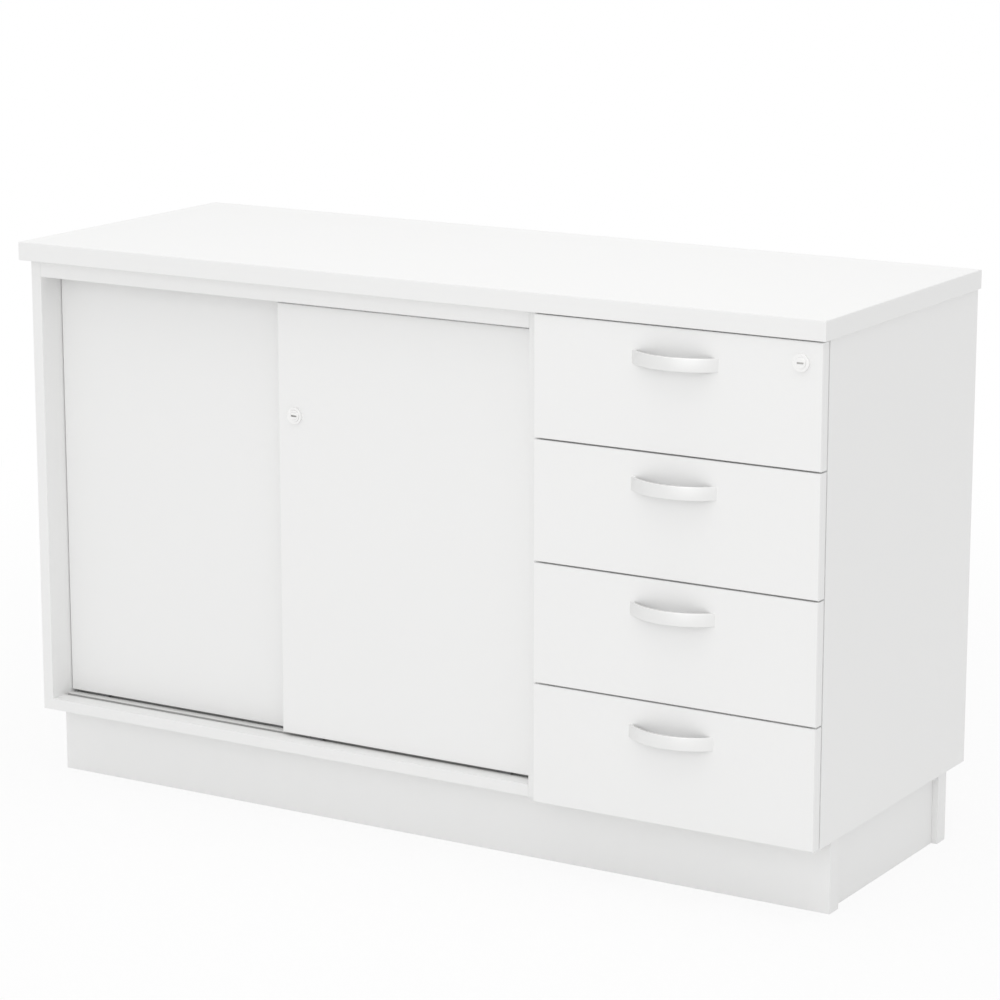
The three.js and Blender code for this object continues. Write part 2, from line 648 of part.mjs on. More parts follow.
/** Drawer with its slides. Its origin is the lower left corner of the front's rear face. */
function makeDrawer(number) {
  const name = `drawer_${number}`;
  const bottom = frontBottom(number);
  const lockHole = alongY(
    circle(lockAcross, lockHeight, HOUSING_RADIUS + FIT),
    -FRONT_THICKNESS - CUT_OVERRUN,
    CUT_OVERRUN,
  );
  const frontBoard = board([0, -FRONT_THICKNESS, 0], [frontWidth, 0, frontHeight], FACE_ROUND);
  const frontGeometry = number === 1 ? cut(frontBoard, lockHole) : frontBoard;
  const railLength = trayLength - DRAWER_RAIL_REAR_GAP - drawerRailFront;
  const drawer = assembly(
    [frontLeft, frontRear, bottom],
    piece(`${name}_front`, frontGeometry, melamine),
    piece(`${name}_handle`, handleGeometry(), handleWhite,
      [frontWidth / 2, -FRONT_THICKNESS, frontHeight - HANDLE_DROP]),
    piece(`${name}_tray`, trayGeometry(), trayPlastic),
    piece(`${name}_left_rail`, drawerRailGeometry(1, railLength), slideSteel,
      [trayLeft, drawerRailFront, slideLevel]),
    piece(`${name}_right_rail`, drawerRailGeometry(-1, railLength), slideSteel,
      [trayRight, drawerRailFront, slideLevel]),
  );
  const cabinetFront = frontRear + drawerRailFront + CABINET_RAIL_SETBACK;
  const cabinetLength = backFace - CABINET_RAIL_REAR_GAP - cabinetFront;
  return assembly(
    [0, 0, 0],
    drawer,
    piece(`${name}_left_cabinet_rail`, cabinetRailGeometry(1, cabinetLength), slideSteel,
      [dividerRight, cabinetFront, bottom + slideLevel]),
    piece(`${name}_right_cabinet_rail`, cabinetRailGeometry(-1, cabinetLength), slideSteel,
      [sideInner, cabinetFront, bottom + slideLevel]),
  );
}

/** Outline of the crank arm, from the plug's axis to the crank pin. */
function crankOutline() {
  const outline = new THREE.Shape();
  const tilt = -CRANK_ANGLE;
  outline.absarc(0, 0, CRANK_HALF_WIDTH, tilt + Math.PI / 2, tilt + 1.5 * Math.PI, false);
  outline.absarc(crankSide, -crankDrop, CRANK_HALF_WIDTH, tilt - Math.PI / 2, tilt + Math.PI / 2, false);
  return outline;
}

/** Lock in the top drawer: housing, and plug with its crank. Its origin is on the drawer front's face. */
function makeDrawerLock() {
  const bore = DRAWER_PLUG_RADIUS + FIT;
  const housing = flangedRing(HOUSING_FLANGE, HOUSING_RADIUS, bore, [
    [HOUSING_RADIUS, HOUSING_LENGTH],
    [bore, HOUSING_LENGTH],
  ]);
  const face = -HOUSING_FLANGE - DRAWER_PLUG_PROUD;
  const crankFace = HOUSING_LENGTH + FIT;
  const crankBack = crankFace + CRANK_THICKNESS;
  const lockFace = frontRear - FRONT_THICKNESS;
  const pinEnd = barCentre + FORK_DEPTH / 2 + CRANK_PIN_OVERRUN - lockFace;
  const plug = joined(
    turned([
      [0, face],
      [DRAWER_PLUG_RADIUS - LOCK_EDGE, face],
      [DRAWER_PLUG_RADIUS, face + LOCK_EDGE],
      [DRAWER_PLUG_RADIUS, crankBack],
      [0, crankBack],
    ]),
    alongY(crankOutline(), crankFace, crankBack),
    alongY(circle(crankSide, -crankDrop, CRANK_PIN_RADIUS), crankFace, pinEnd),
  );
  return assembly(
    [frontLeft + lockAcross, lockFace, frontBottom(1) + lockHeight],
    piece('drawer_lock_housing', housing, lockNickel),
    piece('drawer_lock_plug', cut(plug, keySlot(DRAWER_KEY_SLOT, face)), lockNickel),
  );
}

/** Lock bar in the right side panel, with a pin for each drawer and a fork round the crank pin. */
function makeLockBar() {
  const forkHeight = frontBottom(1) + lockHeight - crankDrop;
  const forkHalf = forkSlotHalf + FORK_LUG;
  const fork = polygon([
    [0, -forkHalf], [0, forkHalf], [-forkReach, forkHalf],
    [-forkReach, forkSlotHalf], [-FORK_WEB, forkSlotHalf], [-FORK_WEB, -forkSlotHalf],
    [-forkReach, -forkSlotHalf], [-forkReach, -forkHalf],
  ]);
  const bar = alongZ(dovetail(0, BAR_THICKNESS, 0), floorTop + FIT, forkHeight + forkHalf + BAR_HEAD);
  const pieces = [
    piece('lock_bar', bar, barAluminium),
    piece('lock_bar_fork', alongY(fork, -FORK_DEPTH / 2, FORK_DEPTH / 2), barAluminium, [0, 0, forkHeight]),
  ];
  for (let number = 1; number <= DRAWER_COUNT; number += 1) {
    const pin = alongX(circle(0, 0, PIN_RADIUS), -pinReach, 0);
    const height = frontBottom(number) + slideLevel - pinDrop;
    pieces.push(piece(`lock_bar_pin_${number}`, pin, slideSteel, [0, 0, height]));
  }
  return assembly([barFace, barCentre, 0], ...pieces);
}

const credenza = new THREE.Group();
credenza.add(makeCarcass(), makePlinth(), makeTracks(), makeDoors());
for (let number = 1; number <= DRAWER_COUNT; number += 1) {
  credenza.add(makeDrawer(number));
}
credenza.add(makeDrawerLock(), makeLockBar());

export default credenza;
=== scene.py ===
"""Looks of the office credenza: finishes of its boards, and its handles, locks, trays and slides."""

import logging
import math
from dataclasses import asdict, dataclass
from enum import Enum
from functools import cache
from typing import Callable, Sequence

import bpy
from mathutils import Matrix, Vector


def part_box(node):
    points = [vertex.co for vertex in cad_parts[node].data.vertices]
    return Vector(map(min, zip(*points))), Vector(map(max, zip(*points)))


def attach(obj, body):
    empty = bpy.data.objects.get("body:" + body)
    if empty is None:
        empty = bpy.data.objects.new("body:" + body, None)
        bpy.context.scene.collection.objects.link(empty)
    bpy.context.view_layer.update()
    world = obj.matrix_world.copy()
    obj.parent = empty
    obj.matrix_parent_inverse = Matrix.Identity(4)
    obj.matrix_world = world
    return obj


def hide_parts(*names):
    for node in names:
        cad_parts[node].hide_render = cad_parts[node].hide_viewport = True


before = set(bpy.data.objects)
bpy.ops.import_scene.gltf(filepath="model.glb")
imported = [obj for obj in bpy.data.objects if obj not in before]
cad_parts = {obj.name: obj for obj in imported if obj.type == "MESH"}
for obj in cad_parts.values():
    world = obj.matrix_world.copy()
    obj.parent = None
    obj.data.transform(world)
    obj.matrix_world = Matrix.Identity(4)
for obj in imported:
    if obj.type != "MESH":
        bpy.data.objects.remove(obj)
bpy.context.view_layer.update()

MM = 0.001
MERGE_DISTANCE = 0.01 * MM
SMOOTH_ANGLE = math.radians(35)
QUARTER_TURN = math.pi / 2
DRAWER_COUNT = 4
WHITE = (1.0, 1.0, 1.0)

# How much of a unit vector lies along a direction that it is said to follow.
FOLLOWS = 0.9

# Facets of a round on a small edge.
FEW_FACETS = 2

log = logging.getLogger("credenza")

Triple = tuple[float, float, float]
Colour = tuple[float, float, float, float]
Pair = tuple[float, float]
Profile = Sequence[Pair]
Material = bpy.types.Material
Socket = bpy.types.NodeSocket
FaceTest = Callable[[Vector, Vector], bool]
EdgeTest = Callable[[Vector, Vector, int], bool]


class Axis(Enum):
    """Direction that a turned form follows, and the direction that its radius is drawn in."""

    X = ((1.0, 0.0, 0.0), (0.0, 0.0, 1.0))
    Y = ((0.0, 1.0, 0.0), (0.0, 0.0, 1.0))
    Z = ((0.0, 0.0, 1.0), (1.0, 0.0, 0.0))

    @property
    def along(self) -> Vector:
        """Unit vector along the axis."""
        return Vector(self.value[0])

    @property
    def across(self) -> Vector:
        """Unit vector square to the axis."""
        return Vector(self.value[1])


class Slot(Enum):
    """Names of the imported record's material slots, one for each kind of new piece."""

    HANDLE = "handle_white"
    TRAY = "tray_plastic"
    STEEL = "slide_steel"
    NICKEL = "lock_nickel"


class Side(Enum):
    """Side of a drawer, and the sign that turns its rails to face the drawer."""

    LEFT = 1
    RIGHT = -1

    @property
    def word(self) -> str:
        """Word for the side in the names of nodes."""
        return self.name.lower()


class NodeGraph:
    """Shader nodes of a material or of the surroundings, added and linked one by one."""

    def __init__(self, owner: Material | bpy.types.World) -> None:
        """Opens the nodes of a new material or world.

        Args:
            owner: The material or world.
        """
        owner.use_nodes = True
        self.nodes = owner.node_tree.nodes
        self.links = owner.node_tree.links

    def add(self, kind: str, settings: dict[str, object] | None = None, **inputs: object) -> bpy.types.Node:
        """Adds a node.

        Args:
            kind: Node type, as Blender names it.
            settings: Properties of the node.
            **inputs: Sockets by name, with underscores for spaces: a value, or an output to link.

        Returns:
            The new node.
        """
        node = self.nodes.new(kind)
        for name, value in (settings or {}).items():
            setattr(node, name, value)
        for name, value in inputs.items():
            self.feed(node.inputs[name.replace("_", " ")], value)
        return node

    def feed(self, socket: Socket, value: object) -> None:
        """Links an output to a socket, or sets the socket to a value.

        Args:
            socket: Input socket.
            value: Output socket, or a plain value.
        """
        if isinstance(value, bpy.types.NodeSocket):
            self.links.new(value, socket)
        else:
            socket.default_value = value

    def math(self, operation: str, *values: object) -> Socket:
        """Adds a Math node.

        Args:
            operation: Name of the operation.
            *values: Its operands, as values or outputs.

        Returns:
            The node's output.
        """
        node = self.add("ShaderNodeMath", {"operation": operation})
        for socket, value in zip(node.inputs, values):
            self.feed(socket, value)
        return node.outputs["Value"]

    def mix(self, factor: object, first: object, second: object) -> Socket:
        """Mixes two colours.

        Args:
            factor: Share of the second colour, as a value or an output.
            first: First colour, as a value or an output.
            second: Second colour, as a value or an output.

        Returns:
            The mixed colour.
        """
        node = self.add("ShaderNodeMix", {"data_type": "RGBA"})
        for name, value in (("Factor", factor), ("A", first), ("B", second)):
            self.feed(node.inputs[name], value)
        return node.outputs["Result"]

    def span(self, pattern: Socket, low: float, high: float) -> Socket:
        """Maps a pattern that goes from 0 to 1 to the values from low to high."""
        return self.add("ShaderNodeMapRange", Value=pattern, To_Min=low, To_Max=high).outputs["Result"]

    def noise(self, place: Socket, scale: float, layers: float) -> Socket:
        """Noise with a scale in cells to a metre, and with so many finer layers."""
        return self.add("ShaderNodeTexNoise", Vector=place, Scale=scale, Detail=layers).outputs["Fac"]


def shade(colour: Triple, factor: float) -> Colour:
    """The colour times a factor, with full alpha."""
    red, green, blue = (factor * part for part in colour)
    return red, green, blue, 1.0


def even(cells: float) -> Triple:
    """Grain with the same number of cells to a metre in every direction."""
    return cells, cells, cells


@dataclass(frozen=True)
class Finish:
    """Surface with a fine relief, a roughness that follows it and a faint mottling of its colour.

    Attributes:
        name: Name of the material.
        colour: Red, green and blue.
        roughness: Middle of the roughness.
        roughness_spread: How far the roughness goes to either side.
        relief: Depth of the relief in metres.
        grain: Cells of the relief to a metre, along X, Y and Z.
        mottling: How far the colour goes to either side, as a share.
        mottling_scale: Cells of the mottling to a metre.
        metallic: 1 for bare metal.
        relief_strength: How much of the relief shows.
    """

    name: str
    colour: Triple
    roughness: float
    roughness_spread: float
    relief: float
    grain: Triple = even(950.0)
    mottling: float = 0.01
    mottling_scale: float = 9.0
    metallic: float = 0.0
    relief_strength: float = 0.4

    RELIEF_LAYERS = 3.0
    MOTTLING_LAYERS = 2.0

    def height(self, graph: NodeGraph, place: Socket) -> Socket:
        """Relief of the surface at object coordinates, from 0 to 1."""
        mapping = graph.add("ShaderNodeMapping", Vector=place, Scale=self.grain)
        return graph.noise(mapping.outputs["Vector"], 1.0, self.RELIEF_LAYERS)

    def base(self, graph: NodeGraph, place: Socket) -> Socket:
        """Colour of the surface with its mottling.

        Args:
            graph: Nodes of the material.
            place: Object coordinates.

        Returns:
            The colour.
        """
        patches = graph.noise(place, self.mottling_scale, self.MOTTLING_LAYERS)
        dark = shade(self.colour, 1 - self.mottling)
        pale = shade(self.colour, 1 + self.mottling)
        return graph.mix(patches, dark, pale)

    def polish(self, graph: NodeGraph, height: Socket) -> Socket:
        """Roughness of the surface, which follows the height of its relief."""
        low, high = self.roughness - self.roughness_spread, self.roughness + self.roughness_spread
        return graph.span(height, low, high)

    def surface(self, graph: NodeGraph, coordinates: bpy.types.Node) -> tuple[Socket, Socket, Socket]:
        """Works out what the shader is fed with.

        Args:
            graph: Nodes of the material.
            coordinates: Texture Coordinate node.

        Returns:
            Colour, roughness and height of the relief.
        """
        place = coordinates.outputs["Object"]
        height = self.height(graph, place)
        return self.base(graph, place), self.polish(graph, height), height

    def build(self) -> Material:
        """Makes the material.

        Returns:
            The material.
        """
        material = bpy.data.materials.new(self.name)
        graph = NodeGraph(material)
        colour, roughness, height = self.surface(graph, graph.add("ShaderNodeTexCoord"))
        depth, strength = self.relief, self.relief_strength
        bump = graph.add("ShaderNodeBump", Height=height, Distance=depth, Strength=strength)
        shader = graph.nodes["Principled BSDF"].inputs
        graph.feed(shader["Base Color"], colour)
        graph.feed(shader["Roughness"], roughness)
        graph.feed(shader["Normal"], bump.outputs["Normal"])
        graph.feed(shader["Metallic"], self.metallic)
        return material


@dataclass(frozen=True)
class BoardFinish(Finish):
    """Melamine board: pearled faces, and smooth edging on the narrow sides with a fine joint at its rim.

    Attributes:
        thickness_axis: Direction square to the board's broad faces.
        edging_tone: Colour of the edging, as a share of the faces' colour.
        joint_tone: Colour of the joint, as a share of the faces' colour.
        edging_roughness: Roughness of the edging.
    """

    thickness_axis: Axis = Axis.Z
    edging_tone: float = 0.985
    joint_tone: float = 0.93
    edging_roughness: float = 0.34

    # How squarely the broad faces and the joints look along the thickness.
    FACE_LIMIT = 0.97
    JOINT_MIDDLE = 0.92
    JOINT_REACH = 0.045

    def surface(self, graph: NodeGraph, coordinates: bpy.types.Node) -> tuple[Socket, Socket, Socket]:
        """Works out what the shader is fed with on the faces, the joints and the edging.

        Args:
            graph: Nodes of the material.
            coordinates: Texture Coordinate node.

        Returns:
            Colour, roughness and height of the relief.
        """
        place = coordinates.outputs["Object"]
        dot = graph.add("ShaderNodeVectorMath", {"operation": "DOT_PRODUCT"})
        graph.feed(dot.inputs[0], coordinates.outputs["Normal"])
        graph.feed(dot.inputs[1], self.thickness_axis.along)
        facing = graph.math("ABSOLUTE", dot.outputs["Value"])
        face = graph.math("GREATER_THAN", facing, self.FACE_LIMIT)
        joint = graph.math("COMPARE", facing, self.JOINT_MIDDLE, self.JOINT_REACH)
        pearl = self.height(graph, place)
        banded = graph.mix(face, shade(self.colour, self.edging_tone), self.base(graph, place))
        colour = graph.mix(joint, banded, shade(self.colour, self.joint_tone))
        offset = graph.math("SUBTRACT", self.polish(graph, pearl), self.edging_roughness)
        roughness = graph.math("MULTIPLY_ADD", offset, face, self.edging_roughness)
        return colour, roughness, graph.math("MULTIPLY", pearl, face)


@dataclass(frozen=True)
class GroovedFinish(Finish):
    """Extruded strip with painted shade in its grooves, which are coloured darker below a height.

    Attributes:
        groove_top: Height that the painted shade in the grooves lies below.
        groove_tone: Colour of the painted shade, as a share of the strip's colour.
    """

    groove_top: float = 0.0
    groove_tone: float = 0.6

    def base(self, graph: NodeGraph, place: Socket) -> Socket:
        """Colour of the strip, with painted shade darkening its grooves.

        Args:
            graph: Nodes of the material.
            place: Object coordinates.

        Returns:
            The colour.
        """
        height = graph.add("ShaderNodeSeparateXYZ", Vector=place).outputs["Z"]
        # Painted shade: below groove_top the grooves take the darker groove_tone.
        painted_groove_shade = graph.math("LESS_THAN", height, self.groove_top)
        return graph.mix(painted_groove_shade, super().base(graph, place), shade(self.colour, self.groove_tone))


@dataclass(frozen=True)
class TurnedFinish(Finish):
    """Metal turned on a lathe, with fine rings about an axis along Y.

    Attributes:
        centre: A point on the axis.
        rings: Rings to a metre.
    """

    centre: Triple = (0.0, 0.0, 0.0)
    rings: float = 900.0

    RING_WAVER = 1.5
    RING_LAYERS = 2.0

    def height(self, graph: NodeGraph, place: Socket) -> Socket:
        """Rings about the axis, broken by a little noise.

        Args:
            graph: Nodes of the material.
            place: Object coordinates.

        Returns:
            The height, from 0 to 1.
        """
        back = tuple(-part for part in self.centre)
        mapping = graph.add("ShaderNodeMapping", Vector=place, Location=back)
        wave = graph.add(
            "ShaderNodeTexWave",
            {"wave_type": "RINGS", "rings_direction": "Y"},
            Vector=mapping.outputs["Vector"],
            Scale=self.rings,
            Distortion=self.RING_WAVER,
            Detail=self.RING_LAYERS,
        )
        return wave.outputs["Fac"]


PEARL_COAT = Finish(
    name="pearl_coat", colour=(0.845, 0.845, 0.84), roughness=0.52, roughness_spread=0.05,
    relief=0.02 * MM, grain=even(1200.0), mottling=0.006, metallic=1.0,
)
# Dark grey for the strap's back: painted shade that darkens the gap between the handle and the drawer
# front.
HANDLE_BACK_PAINTED_SHADE = Finish(
    name="handle_back", colour=(0.22, 0.22, 0.22), roughness=0.6, roughness_spread=0.05,
    relief=0.03 * MM, grain=even(1200.0), mottling=0.02,
)
MOULDED_GREY = Finish(
    name="moulded_grey", colour=(0.72, 0.72, 0.71), roughness=0.52, roughness_spread=0.07,
    relief=0.06 * MM, grain=even(1500.0), mottling=0.015,
)
EXTRUDED_WHITE = Finish(
    name="extruded_white", colour=(0.82, 0.82, 0.81), roughness=0.45, roughness_spread=0.08,
    relief=0.04 * MM, grain=(6.0, 900.0, 900.0),
)
NYLON = Finish(
    name="nylon", colour=(0.2, 0.2, 0.205), roughness=0.55, roughness_spread=0.08,
    relief=0.05 * MM, grain=even(700.0), mottling=0.04, mottling_scale=60.0,
)
ZINC = Finish(
    name="zinc_steel", colour=(0.62, 0.63, 0.645), roughness=0.33, roughness_spread=0.09,
    relief=0.02 * MM, grain=(900.0, 14.0, 900.0), mottling=0.05, mottling_scale=40.0, metallic=1.0,
)
ALUMINIUM = Finish(
    name="mill_aluminium", colour=(0.68, 0.69, 0.7), roughness=0.38, roughness_spread=0.08,
    relief=0.03 * MM, grain=(900.0, 900.0, 8.0), mottling=0.03, mottling_scale=30.0, metallic=1.0,
)
# Darker steel inside the keyways: partly the shutter's own steel, partly painted shade in the slot.
KEYWAY_STEEL_AND_SHADE = Finish(
    name="keyway_steel", colour=(0.5, 0.495, 0.485), roughness=0.5, roughness_spread=0.1,
    relief=0.03 * MM, grain=even(2500.0), mottling=0.2, mottling_scale=400.0, metallic=0.6,
)


def melamine(axis: Axis) -> BoardFinish:
    """White melamine for boards that are thin along an axis."""
    return BoardFinish(
        name=f"melamine_{axis.name.lower()}", colour=(0.89, 0.89, 0.885), roughness=0.44,
        roughness_spread=0.06, relief=0.05 * MM, mottling=0.004, mottling_scale=5.0, thickness_axis=axis,
    )


def nickel(name: str, centre: Vector) -> TurnedFinish:
    """Satin nickel turned about an axis through a point."""
    return TurnedFinish(
        name=name, colour=(0.93, 0.927, 0.92), roughness=0.32, roughness_spread=0.05, relief=0.01 * MM,
        mottling_scale=200.0, metallic=1.0, relief_strength=0.15, centre=tuple(centre),
    )


@cache
def made(finish: Finish) -> Material:
    """Material of a finish, made once."""
    return finish.build()


def clear_selection() -> None:
    """Leaves edit mode and deselects every object."""
    if bpy.context.object is not None and bpy.context.object.mode != "OBJECT":
        bpy.ops.object.mode_set(mode="OBJECT")
    bpy.ops.object.select_all(action="DESELECT")


class Workpiece:
    """A piece under work. Its object stays at the origin, and its place is in its mesh."""

    def __init__(self, name: str) -> None:
        """Takes the active object as the piece.

        Args:
            name: Name of the piece.
        """
        self.obj = bpy.context.object
        self.obj.name = name
        self.obj.data.name = name

    @classmethod
    def block(cls, name: str, low: Vector, high: Vector) -> "Workpiece":
        """Adds a block between two corners, to be shaped further.

        Args:
            name: Name of the piece.
            low: Low corner.
            high: High corner.

        Returns:
            The piece.
        """
        clear_selection()
        bpy.ops.mesh.primitive_cube_add(size=1.0, location=(low + high) / 2, scale=high - low)
        bpy.ops.object.transform_apply(location=True, rotation=True, scale=True)
        return cls(name)

    @classmethod
    def wire(cls, name: str, points: Sequence[Vector]) -> "Workpiece":
        """Draws a line through points by extruding one vertex along them.

        Args:
            name: Name of the piece.
            points: Points of the line. A closed line ends where it starts.

        Returns:
            The piece.
        """
        clear_selection()
        bpy.ops.mesh.primitive_plane_add(size=MM, location=points[0])
        bpy.ops.object.transform_apply(location=True, rotation=True, scale=True)
        wire = cls(name)
        wire.edit()
        bpy.ops.mesh.merge(type="CENTER")
        for here, there in zip(points, points[1:]):
            wire.extrude(there - here)
        wire.select_all()
        bpy.ops.mesh.remove_doubles(threshold=MERGE_DISTANCE)
        wire.done()
        return wire

    @classmethod
    def turned(cls, name: str, axis: Axis, origin: Vector, profile: Profile, steps: int) -> "Workpiece":
        """Turns a profile about an axis.

        Args:
            name: Name of the piece.
            axis: Direction of the axis.
            origin: Point on the axis that the profile is measured from.
            profile: Pairs of radius and distance along the axis. A closed profile ends where it starts.
            steps: Facets of a full turn.

        Returns:
            The piece.
        """
        points = [origin + axis.across * radius + axis.along * along for radius, along in profile]
        piece = cls.wire(name, points)
        piece.edit()
        bpy.ops.mesh.spin(steps=steps, angle=math.tau, center=origin, axis=axis.along)
        piece.close()
        return piece

    @classmethod
    def rod(cls, name: str, origin: Vector, radius: float, ends: Pair, steps: int) -> "Workpiece":
        """Turns a rod along Y, to be shaped further.

        Args:
            name: Name of the piece.
            origin: Point on the rod's axis.
            radius: Radius of the rod.
            ends: Distances of its front and its back from that point.
            steps: Facets of a full turn.

        Returns:
            The piece.
        """
        start, end = ends
        profile = [(0.0, start), (radius, start), (radius, end), (0.0, end)]
        return cls.turned(name, Axis.Y, origin, profile, steps)

    def activate(self) -> None:
        """Makes this the only selected object, and the active one."""
        clear_selection()
        self.obj.select_set(True)
        bpy.context.view_layer.objects.active = self.obj

    def edit(self) -> None:
        """Opens the mesh for editing, with all of it selected."""
        self.activate()
        bpy.ops.object.mode_set(mode="EDIT")
        self.select_all()

    def select_all(self) -> None:
        """Selects the whole open mesh by its vertices."""
        bpy.ops.mesh.select_mode(type="VERT")
        bpy.ops.mesh.select_all(action="SELECT")

    def done(self) -> None:
        """Closes the mesh after editing."""
        bpy.ops.object.mode_set(mode="OBJECT")

    def close(self) -> None:
        """Merges the doubles of the open mesh, turns its faces outwards and closes it."""
        self.select_all()
        bpy.ops.mesh.remove_doubles(threshold=MERGE_DISTANCE)
        bpy.ops.mesh.normals_make_consistent(inside=False)
        self.done()

    def deselect(self, kind: str) -> None:
        """Deselects the whole mesh, to select by faces or by edges from then on.

        Args:
            kind: FACE or EDGE.
        """
        self.edit()
        bpy.ops.mesh.select_mode(type=kind)
        bpy.ops.mesh.select_all(action="DESELECT")
        self.done()

    def pick_faces(self, test: FaceTest) -> None:
        """Opens the mesh with chosen faces selected.

        Args:
            test: Says from a face's middle and normal whether it is chosen.
        """
        self.deselect("FACE")
        for face in self.obj.data.polygons:
            face.select = test(face.center, face.normal)
        bpy.ops.object.mode_set(mode="EDIT")

    def pick_edges(self, test: EdgeTest) -> None:
        """Opens the mesh with chosen edges selected.

        Args:
            test: Says from an edge's two ends and its number of faces whether it is chosen.
        """
        self.deselect("EDGE")
        mesh = self.obj.data
        faces = dict.fromkeys(mesh.edge_keys, 0)
        for face in mesh.polygons:
            for key in face.edge_keys:
                faces[key] += 1
        for edge in mesh.edges:
            first, second = (mesh.vertices[number].co for number in edge.vertices)
            edge.select = test(first, second, faces[edge.key])
        bpy.ops.object.mode_set(mode="EDIT")

    def extrude(self, offset: Vector) -> None:
        """Extrudes what is selected in the open mesh."""
        bpy.ops.mesh.extrude_region_move(TRANSFORM_OT_translate={"value": offset})

    def modify(self, kind: str, **settings: object) -> None:
        """Adds a modifier and applies it.

        Args:
            kind: Type of the modifier.
            **settings: Its properties.
        """
        self.activate()
        bpy.ops.object.modifier_add(type=kind)
        modifier = self.obj.modifiers[-1]
        for name, value in settings.items():
            setattr(modifier, name, value)
        bpy.ops.object.modifier_apply(modifier=modifier.name)

    def round_edges(self, width: float, facets: int = 3) -> None:
        """Rounds the sharp edges."""
        self.modify("BEVEL", width=width, segments=facets, limit_method="ANGLE", angle_limit=SMOOTH_ANGLE)

    def combine(self, tool: "Workpiece", operation: str) -> None:
        """Cuts with another piece or joins it on, and uses it up.

        Args:
            tool: The other piece.
            operation: DIFFERENCE or UNION.
        """
        self.modify("BOOLEAN", operation=operation, object=tool.obj, solver="EXACT")
        tool.activate()
        bpy.ops.object.delete()

    def join(self, *others: "Workpiece") -> None:
        """Takes other pieces into this one, each as a part of its own.

        Args:
            *others: The other pieces.
        """
        self.activate()
        for other in others:
            other.obj.select_set(True)
        bpy.ops.object.join()

    def copy(self, name: str, shift: Vector) -> "Workpiece":
        """Copies the piece, with a mesh of its own.

        Args:
            name: Name of the copy.
            shift: How far the copy stands away.

        Returns:
            The copy.
        """
        self.activate()
        bpy.ops.object.duplicate(linked=False)
        twin = Workpiece(name)
        twin.edit()
        bpy.ops.transform.translate(value=shift)
        twin.done()
        return twin

    def mirror(self, plane: float) -> None:
        """Mirrors the piece left to right.

        Args:
            plane: X of the mirror.
        """
        self.edit()
        bpy.ops.transform.resize(value=(-1.0, 1.0, 1.0), center_override=(plane, 0.0, 0.0))
        self.close()

    def smooth(self) -> None:
        """Shades the round forms smooth and keeps the sharp edges."""
        self.activate()
        bpy.ops.object.shade_smooth_by_angle(angle=SMOOTH_ANGLE)

    def paint(self, material: Material) -> None:
        """Gives the whole piece one material."""
        self.obj.data.materials.clear()
        self.obj.data.materials.append(material)

    def paint_faces(self, material: Material, test: FaceTest) -> None:
        """Gives chosen faces a second material.

        Args:
            material: The second material.
            test: Says from a face's middle and normal whether it is chosen.
        """
        self.obj.data.materials.append(material)
        self.pick_faces(test)
        self.obj.active_material_index = len(self.obj.data.materials) - 1
        bpy.ops.object.material_slot_assign()
        self.done()

    def fit(self, body: str, slot: Slot, *nodes: str) -> None:
        """Puts the finished piece on a body of the frame.

        Args:
            body: Body that it moves with.
            slot: Material slot of the record that its finish belongs to; not used.
            *nodes: Nodes that it stands for.
        """
        self.smooth()
        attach(self.obj, body)
        if nodes:
            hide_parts(*nodes)
        log.info("%s: %d faces, on %s", self.obj.name, len(self.obj.data.polygons), body)


def paint_node(node: str, finish: Finish) -> None:
    """Gives a node of the frame a better material.

    Args:
        node: Name of the node.
        finish: Its finish.
    """
    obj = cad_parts[node]
    material = made(finish)
    if not obj.material_slots:
        obj.data.materials.append(material)
    for slot in obj.material_slots:
        slot.material = material
    log.info("%s: %s", node, finish.name)


def paint_board(node: str) -> None:
    """Gives a board melamine that knows which way the board is thin.

    Args:
        node: Name of the board's node.
    """
    low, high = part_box(node)
    spans = list(high - low)
    axis = list(Axis)[spans.index(min(spans))]
    paint_node(node, melamine(axis))


@dataclass(frozen=True)
class PanScrew:
    """Cross-recessed screw with a low domed head.

    Attributes:
        radius: Radius of the head.
        height: Height of the head.
        recess: Length of the cross from tip to tip.
        blade: Width of the cross's arms.
    """

    radius: float = 3.5 * MM
    height: float = 2.2 * MM
    recess: float = 4.0 * MM
    blade: float = 0.9 * MM

    STEPS = 24
    DOME_STEPS = 4

    # Shares of the head's height that the rim and the recess take.
    RIM_SHARE = 0.4
    RECESS_SHARE = 0.55

    def build(self, name: str, seat: Vector, axis: Axis, sign: int) -> Workpiece:
        """Models the head.

        Args:
            name: Name of the piece.
            seat: Middle of the face that the head stands on.
            axis: Direction of the screw.
            sign: 1 where the head stands up along the axis, and -1 against it.

        Returns:
            The head.
        """
        rise = sign * self.height
        profile = [(0.0, 0.0), (self.radius, 0.0)]
        for step in range(self.DOME_STEPS):
            angle = QUARTER_TURN * step / self.DOME_STEPS
            share = self.RIM_SHARE + (1 - self.RIM_SHARE) * math.sin(angle)
            profile.append((self.radius * math.cos(angle), rise * share))
        profile.append((0.0, rise))
        head = Workpiece.turned(name, axis, seat, profile, self.STEPS)
        top = seat + axis.along * rise
        side = axis.along.cross(axis.across)
        for long, thin in ((axis.across, side), (side, axis.across)):
            reach = long * (self.recess / 2) + thin * (self.blade / 2)
            reach += axis.along * (self.height * self.RECESS_SHARE)
            low = Vector(map(min, top - reach, top + reach))
            high = Vector(map(max, top - reach, top + reach))
            head.combine(Workpiece.block("cross", low, high), "DIFFERENCE")
        return head


